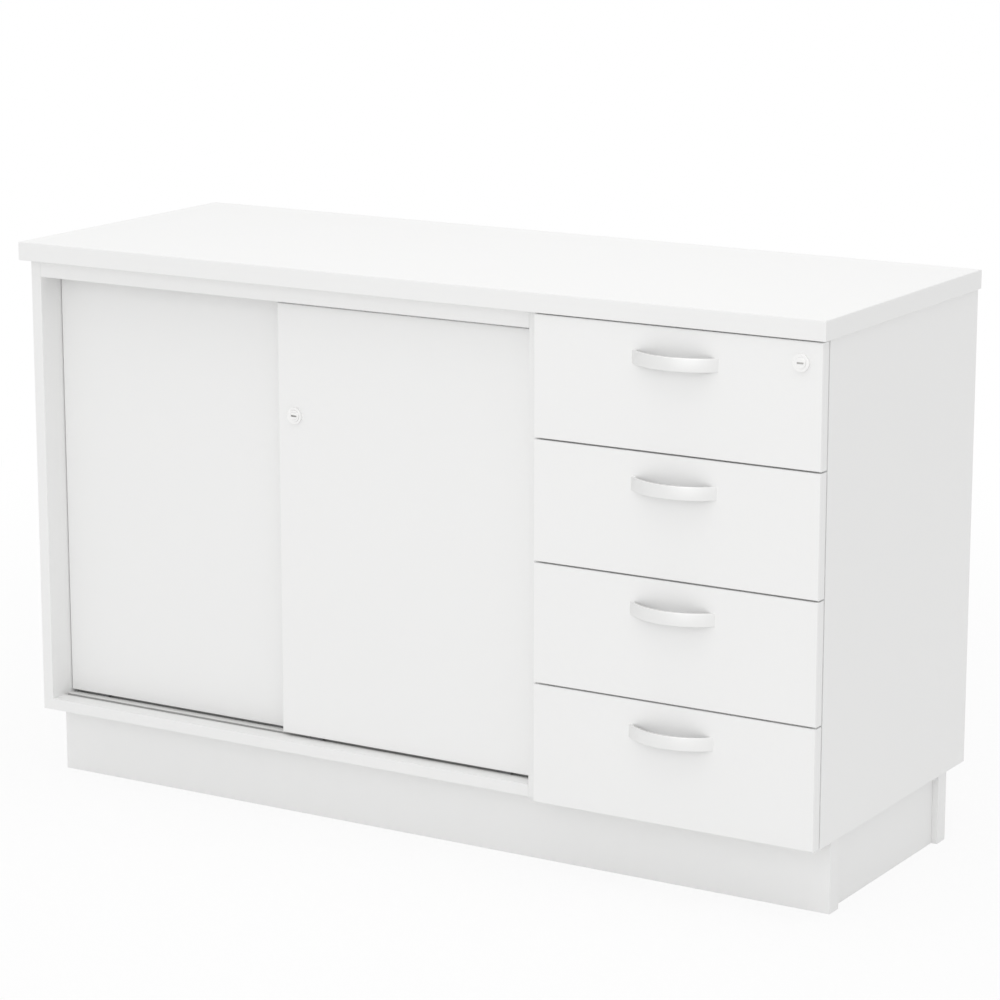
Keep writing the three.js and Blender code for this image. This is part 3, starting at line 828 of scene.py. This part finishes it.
@dataclass
class BowHandle:
    """Bow handle: a strap with softened edges, bent to an arc that ends on the drawer front.

    Attributes:
        thickness: Thickness of the strap.
        edge: Rounding of the strap's edges.
        screw: Screws that hold it from inside the drawer.
        screw_inset: Distance of the screws from the handle's ends.
        screw_lift: Height of the screws above the handle's middle.
    """

    thickness: float = 4.0 * MM
    edge: float = 0.7 * MM
    screw: PanScrew = PanScrew()
    screw_inset: float = 12.0 * MM
    screw_lift: float = 3.0 * MM

    STEPS = 64
    EDGE_STEPS = 4

    # How far the arc runs past the drawer front before it is cut off.
    OVERRUN = math.radians(6)

    # How squarely the faces of the strap's back, which get the painted shade, look at the drawer.
    BACK_LIMIT = 0.5

    def section(self, name: str, low: Vector, high: Vector) -> Workpiece:
        """Draws the strap's rounded section at the crown of the arc.

        Args:
            name: Name of the piece.
            low: Low corner of the handle's box.
            high: High corner of the handle's box.

        Returns:
            The section, as a closed line.
        """
        middle = (low.x + high.x) / 2
        near, far = low.y, low.y + self.thickness
        points = []
        for turn, (y, z) in enumerate(((far, high.z), (near, high.z), (near, low.z), (far, low.z))):
            centre_y = y + (self.edge if y == near else -self.edge)
            centre_z = z + (self.edge if z == low.z else -self.edge)
            for step in range(self.EDGE_STEPS + 1):
                angle = QUARTER_TURN * (turn + step / self.EDGE_STEPS)
                out_y, out_z = self.edge * math.cos(angle), self.edge * math.sin(angle)
                points.append(Vector((middle, centre_y + out_y, centre_z + out_z)))
        return Workpiece.wire(name, [*points, points[0]])

    def build(self, node: str, name: str) -> Workpiece:
        """Bends the strap and cuts its ends off flat on the drawer front.

        Args:
            node: Handle node whose box it fills.
            name: Name of the piece.

        Returns:
            The handle.
        """
        low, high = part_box(node)
        half, projection = (high.x - low.x) / 2, high.y - low.y
        radius = (half ** 2 + projection ** 2) / (2 * projection)
        reach = math.asin(half / radius) + self.OVERRUN
        centre = Vector(((low.x + high.x) / 2, low.y + radius, (low.z + high.z) / 2))
        handle = self.section(name, low, high)
        handle.edit()
        bpy.ops.transform.rotate(value=-reach, orient_axis="Z", center_override=centre)
        bpy.ops.mesh.spin(steps=self.STEPS, angle=2 * reach, center=centre, axis=Axis.Z.along)
        handle.select_all()
        bpy.ops.mesh.bisect(
            plane_co=(0.0, high.y, 0.0),
            plane_no=Axis.Y.along,
            use_fill=True,
            clear_outer=True,
            threshold=MERGE_DISTANCE,
        )
        handle.close()
        return handle

    def dress(self, handle: Workpiece) -> None:
        """Gives the strap its pearl coat, and its back a dark grey: painted shade in the gap behind the
        strap.
        """
        handle.paint(made(PEARL_COAT))
        handle.paint_faces(made(HANDLE_BACK_PAINTED_SHADE), lambda middle, normal: normal.y > self.BACK_LIMIT)

    def screws(self, node: str, name: str, inner_face: float) -> Workpiece:
        """Models the two screws inside the drawer front.

        Args:
            node: Handle node that they hold.
            name: Name of the piece.
            inner_face: Y of the drawer front's inner face.

        Returns:
            Both screws as one piece.
        """
        low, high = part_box(node)
        level = (low.z + high.z) / 2 + self.screw_lift
        first, second = (
            self.screw.build(name, Vector((x, inner_face, level)), Axis.Y, 1)
            for x in (low.x + self.screw_inset, high.x - self.screw_inset)
        )
        first.join(second)
        first.paint(made(ZINC))
        return first


@dataclass
class DrawerTray:
    """Moulded tray: walls with rounded corners, a hem turned over at the rim, and slots for dividers.

    Attributes:
        wall: Thickness of the walls.
        corner: Radius of the corners.
        hem: Width of the hem.
        lip: Height of the lip at the hem's inner edge.
        rib: Thickness of a rib.
        rib_depth: How far a rib stands out from its wall.
        rib_gap: Gap between the two ribs of a slot.
        rib_pitch: Distance from slot to slot.
        rib_count: Slots in each side wall.
        rib_start: Distance of the first slot from the front.
        rib_foot: Height of the ribs' lower ends above the floor.
    """

    wall: float = 2.5 * MM
    corner: float = 9.0 * MM
    hem: float = 8.0 * MM
    lip: float = 5.0 * MM
    rib: float = 1.5 * MM
    rib_depth: float = 2.5 * MM
    rib_gap: float = 2.5 * MM
    rib_pitch: float = 64.0 * MM
    rib_count: int = 5
    rib_start: float = 60.0 * MM
    rib_foot: float = 12.0 * MM

    CORNER_STEPS = 6
    RIM_EDGE = 0.5 * MM
    RIB_EDGE = 0.5 * MM

    def build(self, node: str, name: str) -> Workpiece:
        """Models the tray in the box of its node.

        Args:
            node: Tray node.
            name: Name of the piece.

        Returns:
            The tray.
        """
        low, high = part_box(node)
        tray = Workpiece.block(name, low, high)
        tray.pick_faces(lambda middle, normal: normal.z > FOLLOWS or normal.y < -FOLLOWS)
        bpy.ops.mesh.delete(type="FACE")
        tray.pick_edges(lambda first, second, faces: faces == 2)
        bpy.ops.mesh.bevel(offset=self.corner, segments=self.CORNER_STEPS, affect="EDGES")
        self.turn_hem(tray, low, high)
        tray.modify("SOLIDIFY", thickness=self.wall, offset=-1.0, use_even_offset=True)
        tray.round_edges(self.RIM_EDGE, FEW_FACETS)
        tray.join(*self.ribs(low, high))
        tray.paint(made(MOULDED_GREY))
        return tray

    def turn_hem(self, tray: Workpiece, low: Vector, high: Vector) -> None:
        """Turns the rim inwards and down.

        Args:
            tray: The open shell.
            low: Low corner of the tray's box.
            high: High corner of the tray's box.
        """
        at_rim = high.z - MERGE_DISTANCE
        tray.pick_edges(lambda first, second, faces: first.z > at_rim and second.z > at_rim)
        tray.extrude(Vector())
        width, length = high.x - low.x, high.y - low.y
        inward = (1 - 2 * self.hem / width, 1 - self.hem / length, 1.0)
        bpy.ops.transform.resize(value=inward, center_override=((low.x + high.x) / 2, low.y, high.z))
        tray.extrude(Vector((0.0, 0.0, -self.lip)))
        tray.close()

    def ribs(self, low: Vector, high: Vector) -> list[Workpiece]:
        """Models the pairs of ribs that hold dividers.

        Args:
            low: Low corner of the tray's box.
            high: High corner of the tray's box.

        Returns:
            Rows of ribs, two for each side wall.
        """
        near, far = low.x + self.wall / 2, low.x + self.wall + self.rib_depth
        foot, head = low.z + self.rib_foot, high.z - self.hem
        rows = []
        for offset in (0.0, self.rib + self.rib_gap):
            start = low.y + self.rib_start + offset
            row = Workpiece.block("rib", Vector((near, start, foot)), Vector((far, start + self.rib, head)))
            row.round_edges(self.RIB_EDGE, FEW_FACETS)
            row.modify(
                "ARRAY",
                count=self.rib_count,
                use_relative_offset=False,
                use_constant_offset=True,
                constant_offset_displace=(0.0, self.rib_pitch, 0.0),
            )
            twin = row.copy("rib", Vector())
            twin.mirror((low.x + high.x) / 2)
            rows += [row, twin]
        return rows


@dataclass
class SlideRails:
    """Rolled steel rails of a drawer slide: a C section on the cabinet and a hat section on the drawer.

    Attributes:
        steel: Thickness of the sheet.
        bend: Radius of the bends.
        lip: Depth of the C section's lips.
        foot: Depth of the hat section's feet.
        tab: Thickness of the stop at the front of the hat section.
        screw: Screws in the cabinet rail.
        screw_places: Places of the screws, as shares of the rail's length.
    """

    steel: float = 1.5 * MM
    bend: float = 1.6 * MM
    lip: float = 3.5 * MM
    foot: float = 2.0 * MM
    tab: float = 3.0 * MM
    screw: PanScrew = PanScrew(radius=3.2 * MM, height=1.8 * MM, recess=3.6 * MM, blade=0.8 * MM)
    screw_places: tuple[float, ...] = (0.12, 0.48, 0.86)

    BEND_STEPS = 3
    TAB_EDGE = 0.5 * MM

    def roll(self, name: str, section: Profile, front: float, back: float) -> Workpiece:
        """Rolls a strip of sheet to a section.

        Args:
            name: Name of the rail.
            section: Pairs of X and Z along the middle of the sheet.
            front: Y of the rail's front end.
            back: Y of the rail's rear end.

        Returns:
            The rail.
        """
        rail = Workpiece.wire(name, [Vector((x, front, z)) for x, z in section])
        rail.edit()
        rail.extrude(Vector((0.0, back - front, 0.0)))
        rail.done()
        rail.pick_edges(lambda first, second, faces: faces == 2)
        bpy.ops.mesh.bevel(offset=self.bend, segments=self.BEND_STEPS, affect="EDGES")
        rail.close()
        rail.modify("SOLIDIFY", thickness=self.steel, offset=0.0, use_even_offset=True)
        return rail

    def cabinet_rail(self, node: str, name: str, side: Side) -> Workpiece:
        """Models the rail on the cabinet, with its screws.

        Args:
            node: Rail node whose box it fills.
            name: Name of the rail.
            side: Side of the drawer.

        Returns:
            The rail.
        """
        low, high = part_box(node)
        half = self.steel / 2
        back, mouth = (low.x, high.x) if side is Side.LEFT else (high.x, low.x)
        web, rim = back + side.value * half, mouth - side.value * half
        section = [
            (rim, low.z + self.lip), (rim, low.z + half), (web, low.z + half),
            (web, high.z - half), (rim, high.z - half), (rim, high.z - self.lip),
        ]
        rail = self.roll(name, section, low.y, high.y)
        for share in self.screw_places:
            y = low.y + share * (high.y - low.y)
            seat = Vector((back + side.value * self.steel, y, (low.z + high.z) / 2))
            rail.join(self.screw.build("head", seat, Axis.X, side.value))
        rail.paint(made(ZINC))
        return rail

    def drawer_rail(self, node: str, name: str, side: Side) -> Workpiece:
        """Models the rail on the drawer, with the stop at its front.

        Args:
            node: Rail node whose box it fills.
            name: Name of the rail.
            side: Side of the drawer.

        Returns:
            The rail.
        """
        low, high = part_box(node)
        half = self.steel / 2
        crown, toe = (high.x, low.x) if side is Side.LEFT else (low.x, high.x)
        plate, foot = crown - side.value * half, toe + side.value * half
        bottom, top = low.z + self.foot + half, high.z - self.foot - half
        section = [
            (foot, low.z), (foot, bottom), (plate, bottom),
            (plate, top), (foot, top), (foot, high.z),
        ]
        rail = self.roll(name, section, low.y, high.y)
        near, far = sorted((toe, plate))
        stop = Workpiece.block("stop", Vector((near, low.y, bottom)), Vector((far, low.y + self.tab, top)))
        stop.round_edges(self.TAB_EDGE, FEW_FACETS)
        rail.join(stop)
        rail.paint(made(ZINC))
        return rail


@dataclass
class Drawers:
    """All drawers: fronts, handles, trays and slides. The top one is modelled and the others are copies.

    Attributes:
        handle: Their handle.
        tray: Their tray.
        rails: Their slides.
    """

    handle: BowHandle
    tray: DrawerTray
    rails: SlideRails

    def dress(self) -> None:
        """Gives the drawer fronts their melamine."""
        for number in range(1, DRAWER_COUNT + 1):
            paint_board(f"drawer_{number}_front")

    def build(self) -> None:
        """Models the pieces of the top drawer and copies them down the stack."""
        top_low, top_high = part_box("drawer_1_front")
        handle = self.handle.build("drawer_1_handle", "drawer_1_bow_handle")
        self.handle.dress(handle)
        screws = self.handle.screws("drawer_1_handle", "drawer_1_handle_screws", top_high.y)
        tray = self.tray.build("drawer_1_tray", "drawer_1_moulded_tray")
        # A pattern is a piece, its name, slot, body and node, with gaps for the drawer's number.
        patterns = [
            (handle, "drawer_{}_bow_handle", Slot.HANDLE, "drawer_{}", "drawer_{}_handle"),
            (screws, "drawer_{}_handle_screws", Slot.STEEL, "drawer_{}", None),
            (tray, "drawer_{}_moulded_tray", Slot.TRAY, "drawer_{}", "drawer_{}_tray"),
        ]
        models = (
            (self.rails.cabinet_rail, "outer_slide", "cabinet", "cabinet_rail"),
            (self.rails.drawer_rail, "inner_slide", "drawer_{}", "rail"),
        )
        for side in Side:
            for model, word, body, node_word in models:
                name, node = f"drawer_{{}}_{side.word}_{word}", f"drawer_{{}}_{side.word}_{node_word}"
                rail = model(node.format(1), name.format(1), side)
                patterns.append((rail, name, Slot.STEEL, body, node))
        for number in range(DRAWER_COUNT, 0, -1):
            drop = Vector((0.0, 0.0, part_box(f"drawer_{number}_front")[0].z - top_low.z))
            for pattern, name, slot, body, node in patterns:
                piece = pattern if number == 1 else pattern.copy(name.format(number), drop)
                nodes = [node.format(number)] if node else []
                piece.fit(body.format(number), slot, *nodes)


@dataclass(frozen=True)
class Keyway:
    """Slot for a key in the face of a plug, closed inside by a shutter.

    Attributes:
        length: Length of the slot.
        depth: Depth of the slot, down to the shutter.
        height: Height of the slot.
    """

    length: float
    depth: float
    height: float = 2.2 * MM

    CORNER_SHARE = 1 / 3
    CORNER_STEPS = 3

    # Room for rounding where the slot's faces are looked for, and how far behind the plug's face they lie.
    MARGIN = 0.05 * MM
    BEHIND_FACE = 0.1 * MM

    @property
    def half(self) -> Vector:
        """Half the size of the cutter, which stands out of the plug as far as it goes in."""
        return Vector((self.length / 2, self.depth, self.height / 2))

    def holds(self, offset: Vector) -> bool:
        """Says whether a face is the slot's, from the offset of its middle from the plug's face."""
        within = all(abs(part) < reach + self.MARGIN for part, reach in zip(offset, self.half))
        return within and offset.y > self.BEHIND_FACE

    def cut(self, plug: Workpiece, centre: Vector) -> None:
        """Cuts the slot and gives its walls a darker steel: partly the shutter's own steel, partly painted
        shade in the slot.

        Args:
            plug: The plug.
            centre: Middle of the plug's face.
        """
        cutter = Workpiece.block("slot", centre - self.half, centre + self.half)
        cutter.pick_edges(lambda first, second, faces: abs((second - first).normalized().y) > FOLLOWS)
        corner = self.height * self.CORNER_SHARE
        bpy.ops.mesh.bevel(offset=corner, segments=self.CORNER_STEPS, affect="EDGES")
        cutter.done()
        plug.combine(cutter, "DIFFERENCE")
        plug.paint_faces(made(KEYWAY_STEEL_AND_SHADE), lambda middle, normal: self.holds(middle - centre))


@dataclass
class DoorLock:
    """Push lock of the front door: flanged sleeve, plunger with its bolt, and key plug.

    Attributes:
        edge: Rounding of the turned edges.
        plug_edge: Rounding of the key plug's edges.
        barrel: Radius of the sleeve in the door.
        bore: Radius of the hole that the plunger slides in.
        bolt: Radius of the bolt.
        bolt_hole: Radius of the hole that the bolt passes.
        shoulder: Thickness of the sleeve's rear wall.
        door: Thickness of the door.
        travel: How far the plunger goes in.
        plug_radius: Radius of the key plug.
        plug_length: Length of the key plug.
        clearance: Gap between the turned pieces.
        keyway: Slot for the key.
    """

    edge: float = 0.15 * MM
    plug_edge: float = 0.075 * MM
    barrel: float = 9.25 * MM
    bore: float = 7.9 * MM
    bolt: float = 3.0 * MM
    bolt_hole: float = 3.3 * MM
    shoulder: float = 2.5 * MM
    door: float = 16.0 * MM
    travel: float = 6.0 * MM
    plug_radius: float = 5.0 * MM
    plug_length: float = 8.0 * MM
    clearance: float = 0.1 * MM
    keyway: Keyway = Keyway(length=8.4 * MM, depth=1.8 * MM)

    STEPS = 64
    PLUG_STEPS = 48

    def build(self) -> None:
        """Models the three pieces about the lock's axis."""
        low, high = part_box("door_lock_sleeve")
        face = high.y - self.door
        axis = Vector(((low.x + high.x) / 2, face, (low.z + high.z) / 2))
        metal = made(nickel("door_lock_nickel", axis))
        self.sleeve(axis, (high.x - low.x) / 2, face - low.y, metal)
        self.plunger(axis, metal)
        self.plug(axis, metal)

    def sleeve(self, axis: Vector, flange: float, thickness: float, metal: Material) -> None:
        """Models the sleeve.

        Args:
            axis: Point on the axis, on the door's face.
            flange: Radius of the flange.
            thickness: Thickness of the flange.
            metal: Its material.
        """
        inner = self.door - self.shoulder
        profile = [
            (self.bore, -thickness), (flange, -thickness), (flange, 0.0), (self.barrel, 0.0),
            (self.barrel, self.door), (self.bolt_hole, self.door), (self.bolt_hole, inner),
            (self.bore, inner), (self.bore, -thickness),
        ]
        sleeve = Workpiece.turned("door_lock_flanged_sleeve", Axis.Y, axis, profile, self.STEPS)
        sleeve.round_edges(self.edge)
        sleeve.paint(metal)
        sleeve.fit("front_door", Slot.NICKEL, "door_lock_sleeve")

    def plunger(self, axis: Vector, metal: Material) -> None:
        """Models the plunger with its bolt.

        Args:
            axis: Point on the axis, on the door's face.
            metal: Its material.
        """
        low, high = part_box("door_lock_plunger")
        radius = (high.x - low.x) / 2
        front, tip = low.y - axis.y, high.y - axis.y
        hole = self.plug_radius + self.clearance
        floor = front + self.plug_length + self.clearance
        end = self.door - self.shoulder - self.travel - self.clearance
        profile = [
            (0.0, floor), (hole, floor), (hole, front), (radius, front), (radius, end),
            (self.bolt, end), (self.bolt, tip), (0.0, tip),
        ]
        plunger = Workpiece.turned("door_lock_push_plunger", Axis.Y, axis, profile, self.STEPS)
        plunger.round_edges(self.edge)
        plunger.paint(metal)
        plunger.fit("door_lock_plunger", Slot.NICKEL, "door_lock_plunger")

    def plug(self, axis: Vector, metal: Material) -> None:
        """Models the key plug.

        Args:
            axis: Point on the axis, on the door's face.
            metal: Its material.
        """
        low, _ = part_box("door_lock_plug")
        front = low.y - axis.y
        ends = (front, front + self.plug_length)
        plug = Workpiece.rod("door_lock_key_plug", axis, self.plug_radius, ends, self.PLUG_STEPS)
        plug.round_edges(self.plug_edge, FEW_FACETS)
        plug.paint(metal)
        self.keyway.cut(plug, Vector((axis.x, low.y, axis.z)))
        plug.fit("door_lock_plug", Slot.NICKEL, "door_lock_plug")


@dataclass
class DrawerLock:
    """Lock in the top drawer: flanged housing, and a key plug whose crank lifts the lock bar.

    Attributes:
        edge: Rounding of the turned edges.
        barrel: Radius of the housing in the drawer front.
        plug_radius: Radius of the key plug.
        clearance: Gap between the turned pieces.
        crank: Distance of the crank pin from the plug's axis.
        crank_angle: How far the crank points below the level at rest.
        crank_width: Half width of the crank's arm.
        crank_thickness: Thickness of the crank's arm.
        pin_radius: Radius of the crank pin.
        keyway: Slot for the key.
    """

    edge: float = 0.15 * MM
    barrel: float = 9.0 * MM
    plug_radius: float = 7.0 * MM
    clearance: float = 0.1 * MM
    crank: float = 8.0 * MM
    crank_angle: float = math.pi / 4
    crank_width: float = 3.5 * MM
    crank_thickness: float = 3.0 * MM
    pin_radius: float = 1.75 * MM
    keyway: Keyway = Keyway(length=9.0 * MM, depth=0.8 * MM)

    STEPS = 64
    PLUG_STEPS = 48
    PIN_STEPS = 32

    def build(self) -> None:
        """Models the housing and the plug about the lock's axis."""
        low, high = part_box("drawer_lock_housing")
        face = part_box("drawer_1_front")[0].y
        axis = Vector(((low.x + high.x) / 2, face, (low.z + high.z) / 2))
        metal = made(nickel("drawer_lock_nickel", axis))
        thickness, length, flange = face - low.y, high.y - face, (high.x - low.x) / 2
        bore = self.plug_radius + self.clearance
        profile = [
            (bore, -thickness), (flange, -thickness), (flange, 0.0), (self.barrel, 0.0),
            (self.barrel, length), (bore, length), (bore, -thickness),
        ]
        housing = Workpiece.turned("drawer_lock_flanged_housing", Axis.Y, axis, profile, self.STEPS)
        housing.round_edges(self.edge)
        housing.paint(metal)
        housing.fit("drawer_1", Slot.NICKEL, "drawer_lock_housing")
        self.plug(axis, length, metal)

    def plug(self, axis: Vector, length: float, metal: Material) -> None:
        """Models the plug with its crank.

        Args:
            axis: Point on the axis, on the drawer front's face.
            length: Length of the housing behind the drawer front's face.
            metal: Its material.
        """
        low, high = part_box("drawer_lock_plug")
        front, pin_end = low.y - axis.y, high.y - axis.y
        near = length + self.clearance
        far = near + self.crank_thickness
        plug = Workpiece.rod("drawer_lock_key_plug", axis, self.plug_radius, (front, far), self.PLUG_STEPS)
        plug.round_edges(self.edge)
        throw = Vector((math.cos(self.crank_angle), 0.0, -math.sin(self.crank_angle)))
        pin_axis = axis + throw * self.crank
        rods = ((self.crank_width, (near, far)), (self.pin_radius, (near + self.edge, pin_end)))
        for radius, ends in rods:
            plug.combine(Workpiece.rod("boss", pin_axis, radius, ends, self.PIN_STEPS), "UNION")
        plug.combine(self.arm(axis, throw, near, far), "UNION")
        plug.paint(metal)
        self.keyway.cut(plug, Vector((axis.x, low.y, axis.z)))
        plug.fit("drawer_lock_plug", Slot.NICKEL, "drawer_lock_plug")

    def arm(self, axis: Vector, throw: Vector, near: float, far: float) -> Workpiece:
        """Models the crank's arm between the plug and the crank pin.

        Args:
            axis: Point on the plug's axis, on the drawer front's face.
            throw: Direction of the crank.
            near: Distance of the arm's front behind that face.
            far: Distance of the arm's back behind that face.

        Returns:
            The arm.
        """
        side = throw.cross(Axis.Y.along) * self.crank_width
        end = throw * self.crank
        corners = [side, side + end, end - side, -side, side]
        arm = Workpiece.wire("arm", [axis + Axis.Y.along * near + corner for corner in corners])
        arm.edit()
        bpy.ops.mesh.edge_face_add()
        arm.extrude(Axis.Y.along * (far - near))
        arm.close()
        return arm


@dataclass
class Carcass:
    """Boards of the cabinet and its plinth, and the pegs under the shelf.

    Attributes:
        peg_radius: Radius of a peg's collar.
        peg_pin: Radius of a peg's pin.
        peg_reach: How far a peg stands out of its board.
        peg_inset: Distance of the pegs from the shelf's front and back edges.
        collar: Thickness of a peg's collar.
        collar_edge: Rounding of a peg's edges.
    """

    peg_radius: float = 4.0 * MM
    peg_pin: float = 2.5 * MM
    peg_reach: float = 8.0 * MM
    peg_inset: float = 45.0 * MM
    collar: float = 1.2 * MM
    collar_edge: float = 0.3 * MM

    PEG_STEPS = 24
    BOARDS = (
        "worktop", "left_side_panel", "right_side_panel", "divider_panel", "cupboard_floor",
        "pedestal_floor", "back_panel", "top_rail", "shelf",
        "plinth_front", "plinth_rear", "plinth_left", "plinth_right",
    )

    def dress(self) -> None:
        """Gives every board its melamine."""
        for board in self.BOARDS:
            paint_board(board)

    def build(self) -> None:
        """Models the pegs that carry the shelf."""
        low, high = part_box("shelf")
        level = low.z - self.peg_pin
        pegs = []
        for x, sign in ((low.x, 1), (high.x, -1)):
            collar, reach = sign * self.collar, sign * self.peg_reach
            profile = [
                (0.0, 0.0), (self.peg_radius, 0.0), (self.peg_radius, collar),
                (self.peg_pin, collar), (self.peg_pin, reach), (0.0, reach),
            ]
            for y in (low.y + self.peg_inset, high.y - self.peg_inset):
                peg = Workpiece.turned("shelf_pegs", Axis.X, Vector((x, y, level)), profile, self.PEG_STEPS)
                peg.round_edges(self.collar_edge, FEW_FACETS)
                pegs.append(peg)
        pegs[0].join(*pegs[1:])
        pegs[0].paint(made(ZINC))
        pegs[0].fit("cabinet", Slot.STEEL)


@dataclass
class SlidingDoors:
    """Sliding doors, their tracks, rollers and lock.

    Attributes:
        lock: Push lock of the front door.
        strip_edge: How far below the lower track's top the painted shade in its grooves starts.
    """

    lock: DoorLock
    strip_edge: float = 0.3 * MM

    DOORS = ("front_door", "rear_door")

    def dress(self) -> None:
        """Gives the doors melamine, the rollers nylon, and the tracks plastic with painted shade in the
        grooves.
        """
        for door in self.DOORS:
            paint_board(door)
            for side in Side:
                paint_node(f"{door}_{side.word}_roller", NYLON)
        paint_node("upper_track", EXTRUDED_WHITE)
        # The lower track's grooves get painted shade below this height.
        groove_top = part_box("lower_track")[1].z - self.strip_edge
        painted_groove_shade = asdict(EXTRUDED_WHITE) | {"name": "rubbed_track", "groove_top": groove_top}
        paint_node("lower_track", GroovedFinish(**painted_groove_shade))

    def build(self) -> None:
        """Models the lock."""
        self.lock.build()


@dataclass
class CentralLock:
    """Lock that holds all drawers: the lock in the top drawer, and the bar that it lifts.

    Attributes:
        lock: Lock in the top drawer.
    """

    lock: DrawerLock

    def dress(self) -> None:
        """Gives the bar and its fork aluminium, and the pins steel."""
        for node in ("lock_bar", "lock_bar_fork"):
            paint_node(node, ALUMINIUM)
        for number in range(1, DRAWER_COUNT + 1):
            paint_node(f"lock_bar_pin_{number}", ZINC)

    def build(self) -> None:
        """Models the lock."""
        self.lock.build()


@dataclass(frozen=True)
class Lamp:
    """Soft lamp.

    Attributes:
        name: Name of the lamp.
        place: Where it hangs.
        target: Where it points.
        size: Side of its square face.
        power: Power in watts.
    """

    name: str
    place: Triple
    target: Triple
    size: float
    power: float

    def build(self) -> None:
        """Hangs the lamp."""
        clear_selection()
        bpy.ops.object.light_add(type="AREA", location=self.place)
        lamp = bpy.context.object
        lamp.name = self.name
        lamp.data.size = self.size
        lamp.data.energy = self.power
        aim = Vector(self.target) - Vector(self.place)
        lamp.rotation_euler = aim.to_track_quat("-Z", "Y").to_euler()


@dataclass
class Studio:
    """Floor, white surroundings, lamps and camera.

    Attributes:
        floor_size: Side of the floor.
        floor_tone: Colour of the floor, as a share of white.
        near_veil: Share of plain white that the camera sees over the floor next to the object.
        near_reach: Distance from the object's middle up to which that share holds.
        far_reach: Distance from which the floor is plain white to the camera.
        sky: Strength of the light from all round.
        lamps: Soft lamps.
        camera_place: Where the camera stands.
        camera_yaw: How far the camera is turned to the left, in degrees.
        camera_pitch: How far the camera looks down, in degrees.
        camera_lens: Focal length in millimetres.
    """

    floor_size: float = 40.0
    floor_tone: float = 0.92
    near_veil: float = 0.85
    near_reach: float = 0.8
    far_reach: float = 2.4
    sky: float = 0.785
    lamps: tuple[Lamp, ...] = (
        Lamp("overhead_lamp", place=(0.2, -0.5, 3.3), target=(0.0, 0.0, 0.4), size=3.0, power=21.7),
        Lamp("front_lamp", place=(1.1, -4.2, 2.0), target=(0.0, 0.0, 0.4), size=2.4, power=22.9),
    )
    camera_place: Triple = (2.3614, -3.8593, 1.4510)
    camera_yaw: float = 31.195
    camera_pitch: float = 12.791
    camera_lens: float = 126.02

    FLOOR_CUTS = 3

    def build(self) -> None:
        """Sets the studio up."""
        self.lay_floor()
        self.light_surroundings()
        for lamp in self.lamps:
            lamp.build()
        self.stand_camera()
        bpy.context.scene.view_settings.view_transform = "Standard"

    def lay_floor(self) -> None:
        """Lays a pale floor that keeps the object's shadow."""
        clear_selection()
        bpy.ops.mesh.primitive_plane_add(size=self.floor_size)
        floor = Workpiece("studio_floor")
        floor.edit()
        bpy.ops.mesh.subdivide(number_cuts=self.FLOOR_CUTS)
        floor.done()
        floor.paint(self.floor_material())

    def floor_material(self) -> Material:
        """Makes a matt floor that fades to plain white for the camera.

        Returns:
            The material.
        """
        material = bpy.data.materials.new("studio_floor")
        graph = NodeGraph(material)
        matt = graph.add("ShaderNodeBsdfDiffuse", Color=shade(WHITE, self.floor_tone))
        white = graph.add("ShaderNodeEmission", Strength=1.0)
        away = graph.add("ShaderNodeVectorMath", {"operation": "LENGTH"})
        graph.feed(away.inputs[0], graph.add("ShaderNodeTexCoord").outputs["Object"])
        share = graph.add(
            "ShaderNodeMapRange",
            {"interpolation_type": "SMOOTHSTEP"},
            Value=away.outputs["Value"],
            From_Min=self.near_reach,
            From_Max=self.far_reach,
            To_Min=self.near_veil,
            To_Max=1.0,
        )
        veil = graph.math("MULTIPLY", self.seen(graph), share.outputs["Result"])
        mixed = graph.add("ShaderNodeMixShader", Fac=veil)
        graph.feed(mixed.inputs[1], matt.outputs["BSDF"])
        graph.feed(mixed.inputs[2], white.outputs["Emission"])
        graph.feed(graph.nodes["Material Output"].inputs["Surface"], mixed.outputs["Shader"])
        graph.nodes.remove(graph.nodes["Principled BSDF"])
        return material

    def seen(self, graph: NodeGraph) -> Socket:
        """Marks what the camera sees, also by reflection or through glass.

        Args:
            graph: Nodes to add to.

        Returns:
            1 where it is seen and 0 where it only lights.
        """
        rays = graph.add("ShaderNodeLightPath").outputs
        direct = graph.math("MAXIMUM", rays["Is Camera Ray"], rays["Is Glossy Ray"])
        return graph.math("MAXIMUM", direct, rays["Is Transmission Ray"])

    def light_surroundings(self) -> None:
        """Makes the surroundings white to the eye, and a soft light on the object."""
        world = bpy.data.worlds.new("studio_surroundings")
        bpy.context.scene.world = world
        graph = NodeGraph(world)
        background = graph.nodes["Background"].inputs
        graph.feed(background["Color"], shade(WHITE, 1.0))
        graph.feed(background["Strength"], graph.span(self.seen(graph), self.sky, 1.0))

    def stand_camera(self) -> None:
        """Stands the camera where the photograph was taken from."""
        clear_selection()
        turn = (math.radians(90 - self.camera_pitch), 0.0, math.radians(self.camera_yaw))
        bpy.ops.object.camera_add(location=self.camera_place, rotation=turn)
        camera = bpy.context.object
        camera.data.lens = self.camera_lens
        bpy.context.scene.camera = camera


def write_sizes() -> None:
    """Updates the view layer."""
    bpy.context.view_layer.update()


def main() -> None:
    """Sets the studio up, then dresses and builds the sub-assemblies in order."""
    logging.basicConfig(level=logging.INFO, format="%(name)s: %(message)s")
    Studio().build()
    assemblies = (
        Carcass(),
        SlidingDoors(DoorLock()),
        Drawers(BowHandle(), DrawerTray(), SlideRails()),
        CentralLock(DrawerLock()),
    )
    for assembly in assemblies:
        assembly.dress()
        assembly.build()
    write_sizes()


if __name__ == "__main__":
    main()
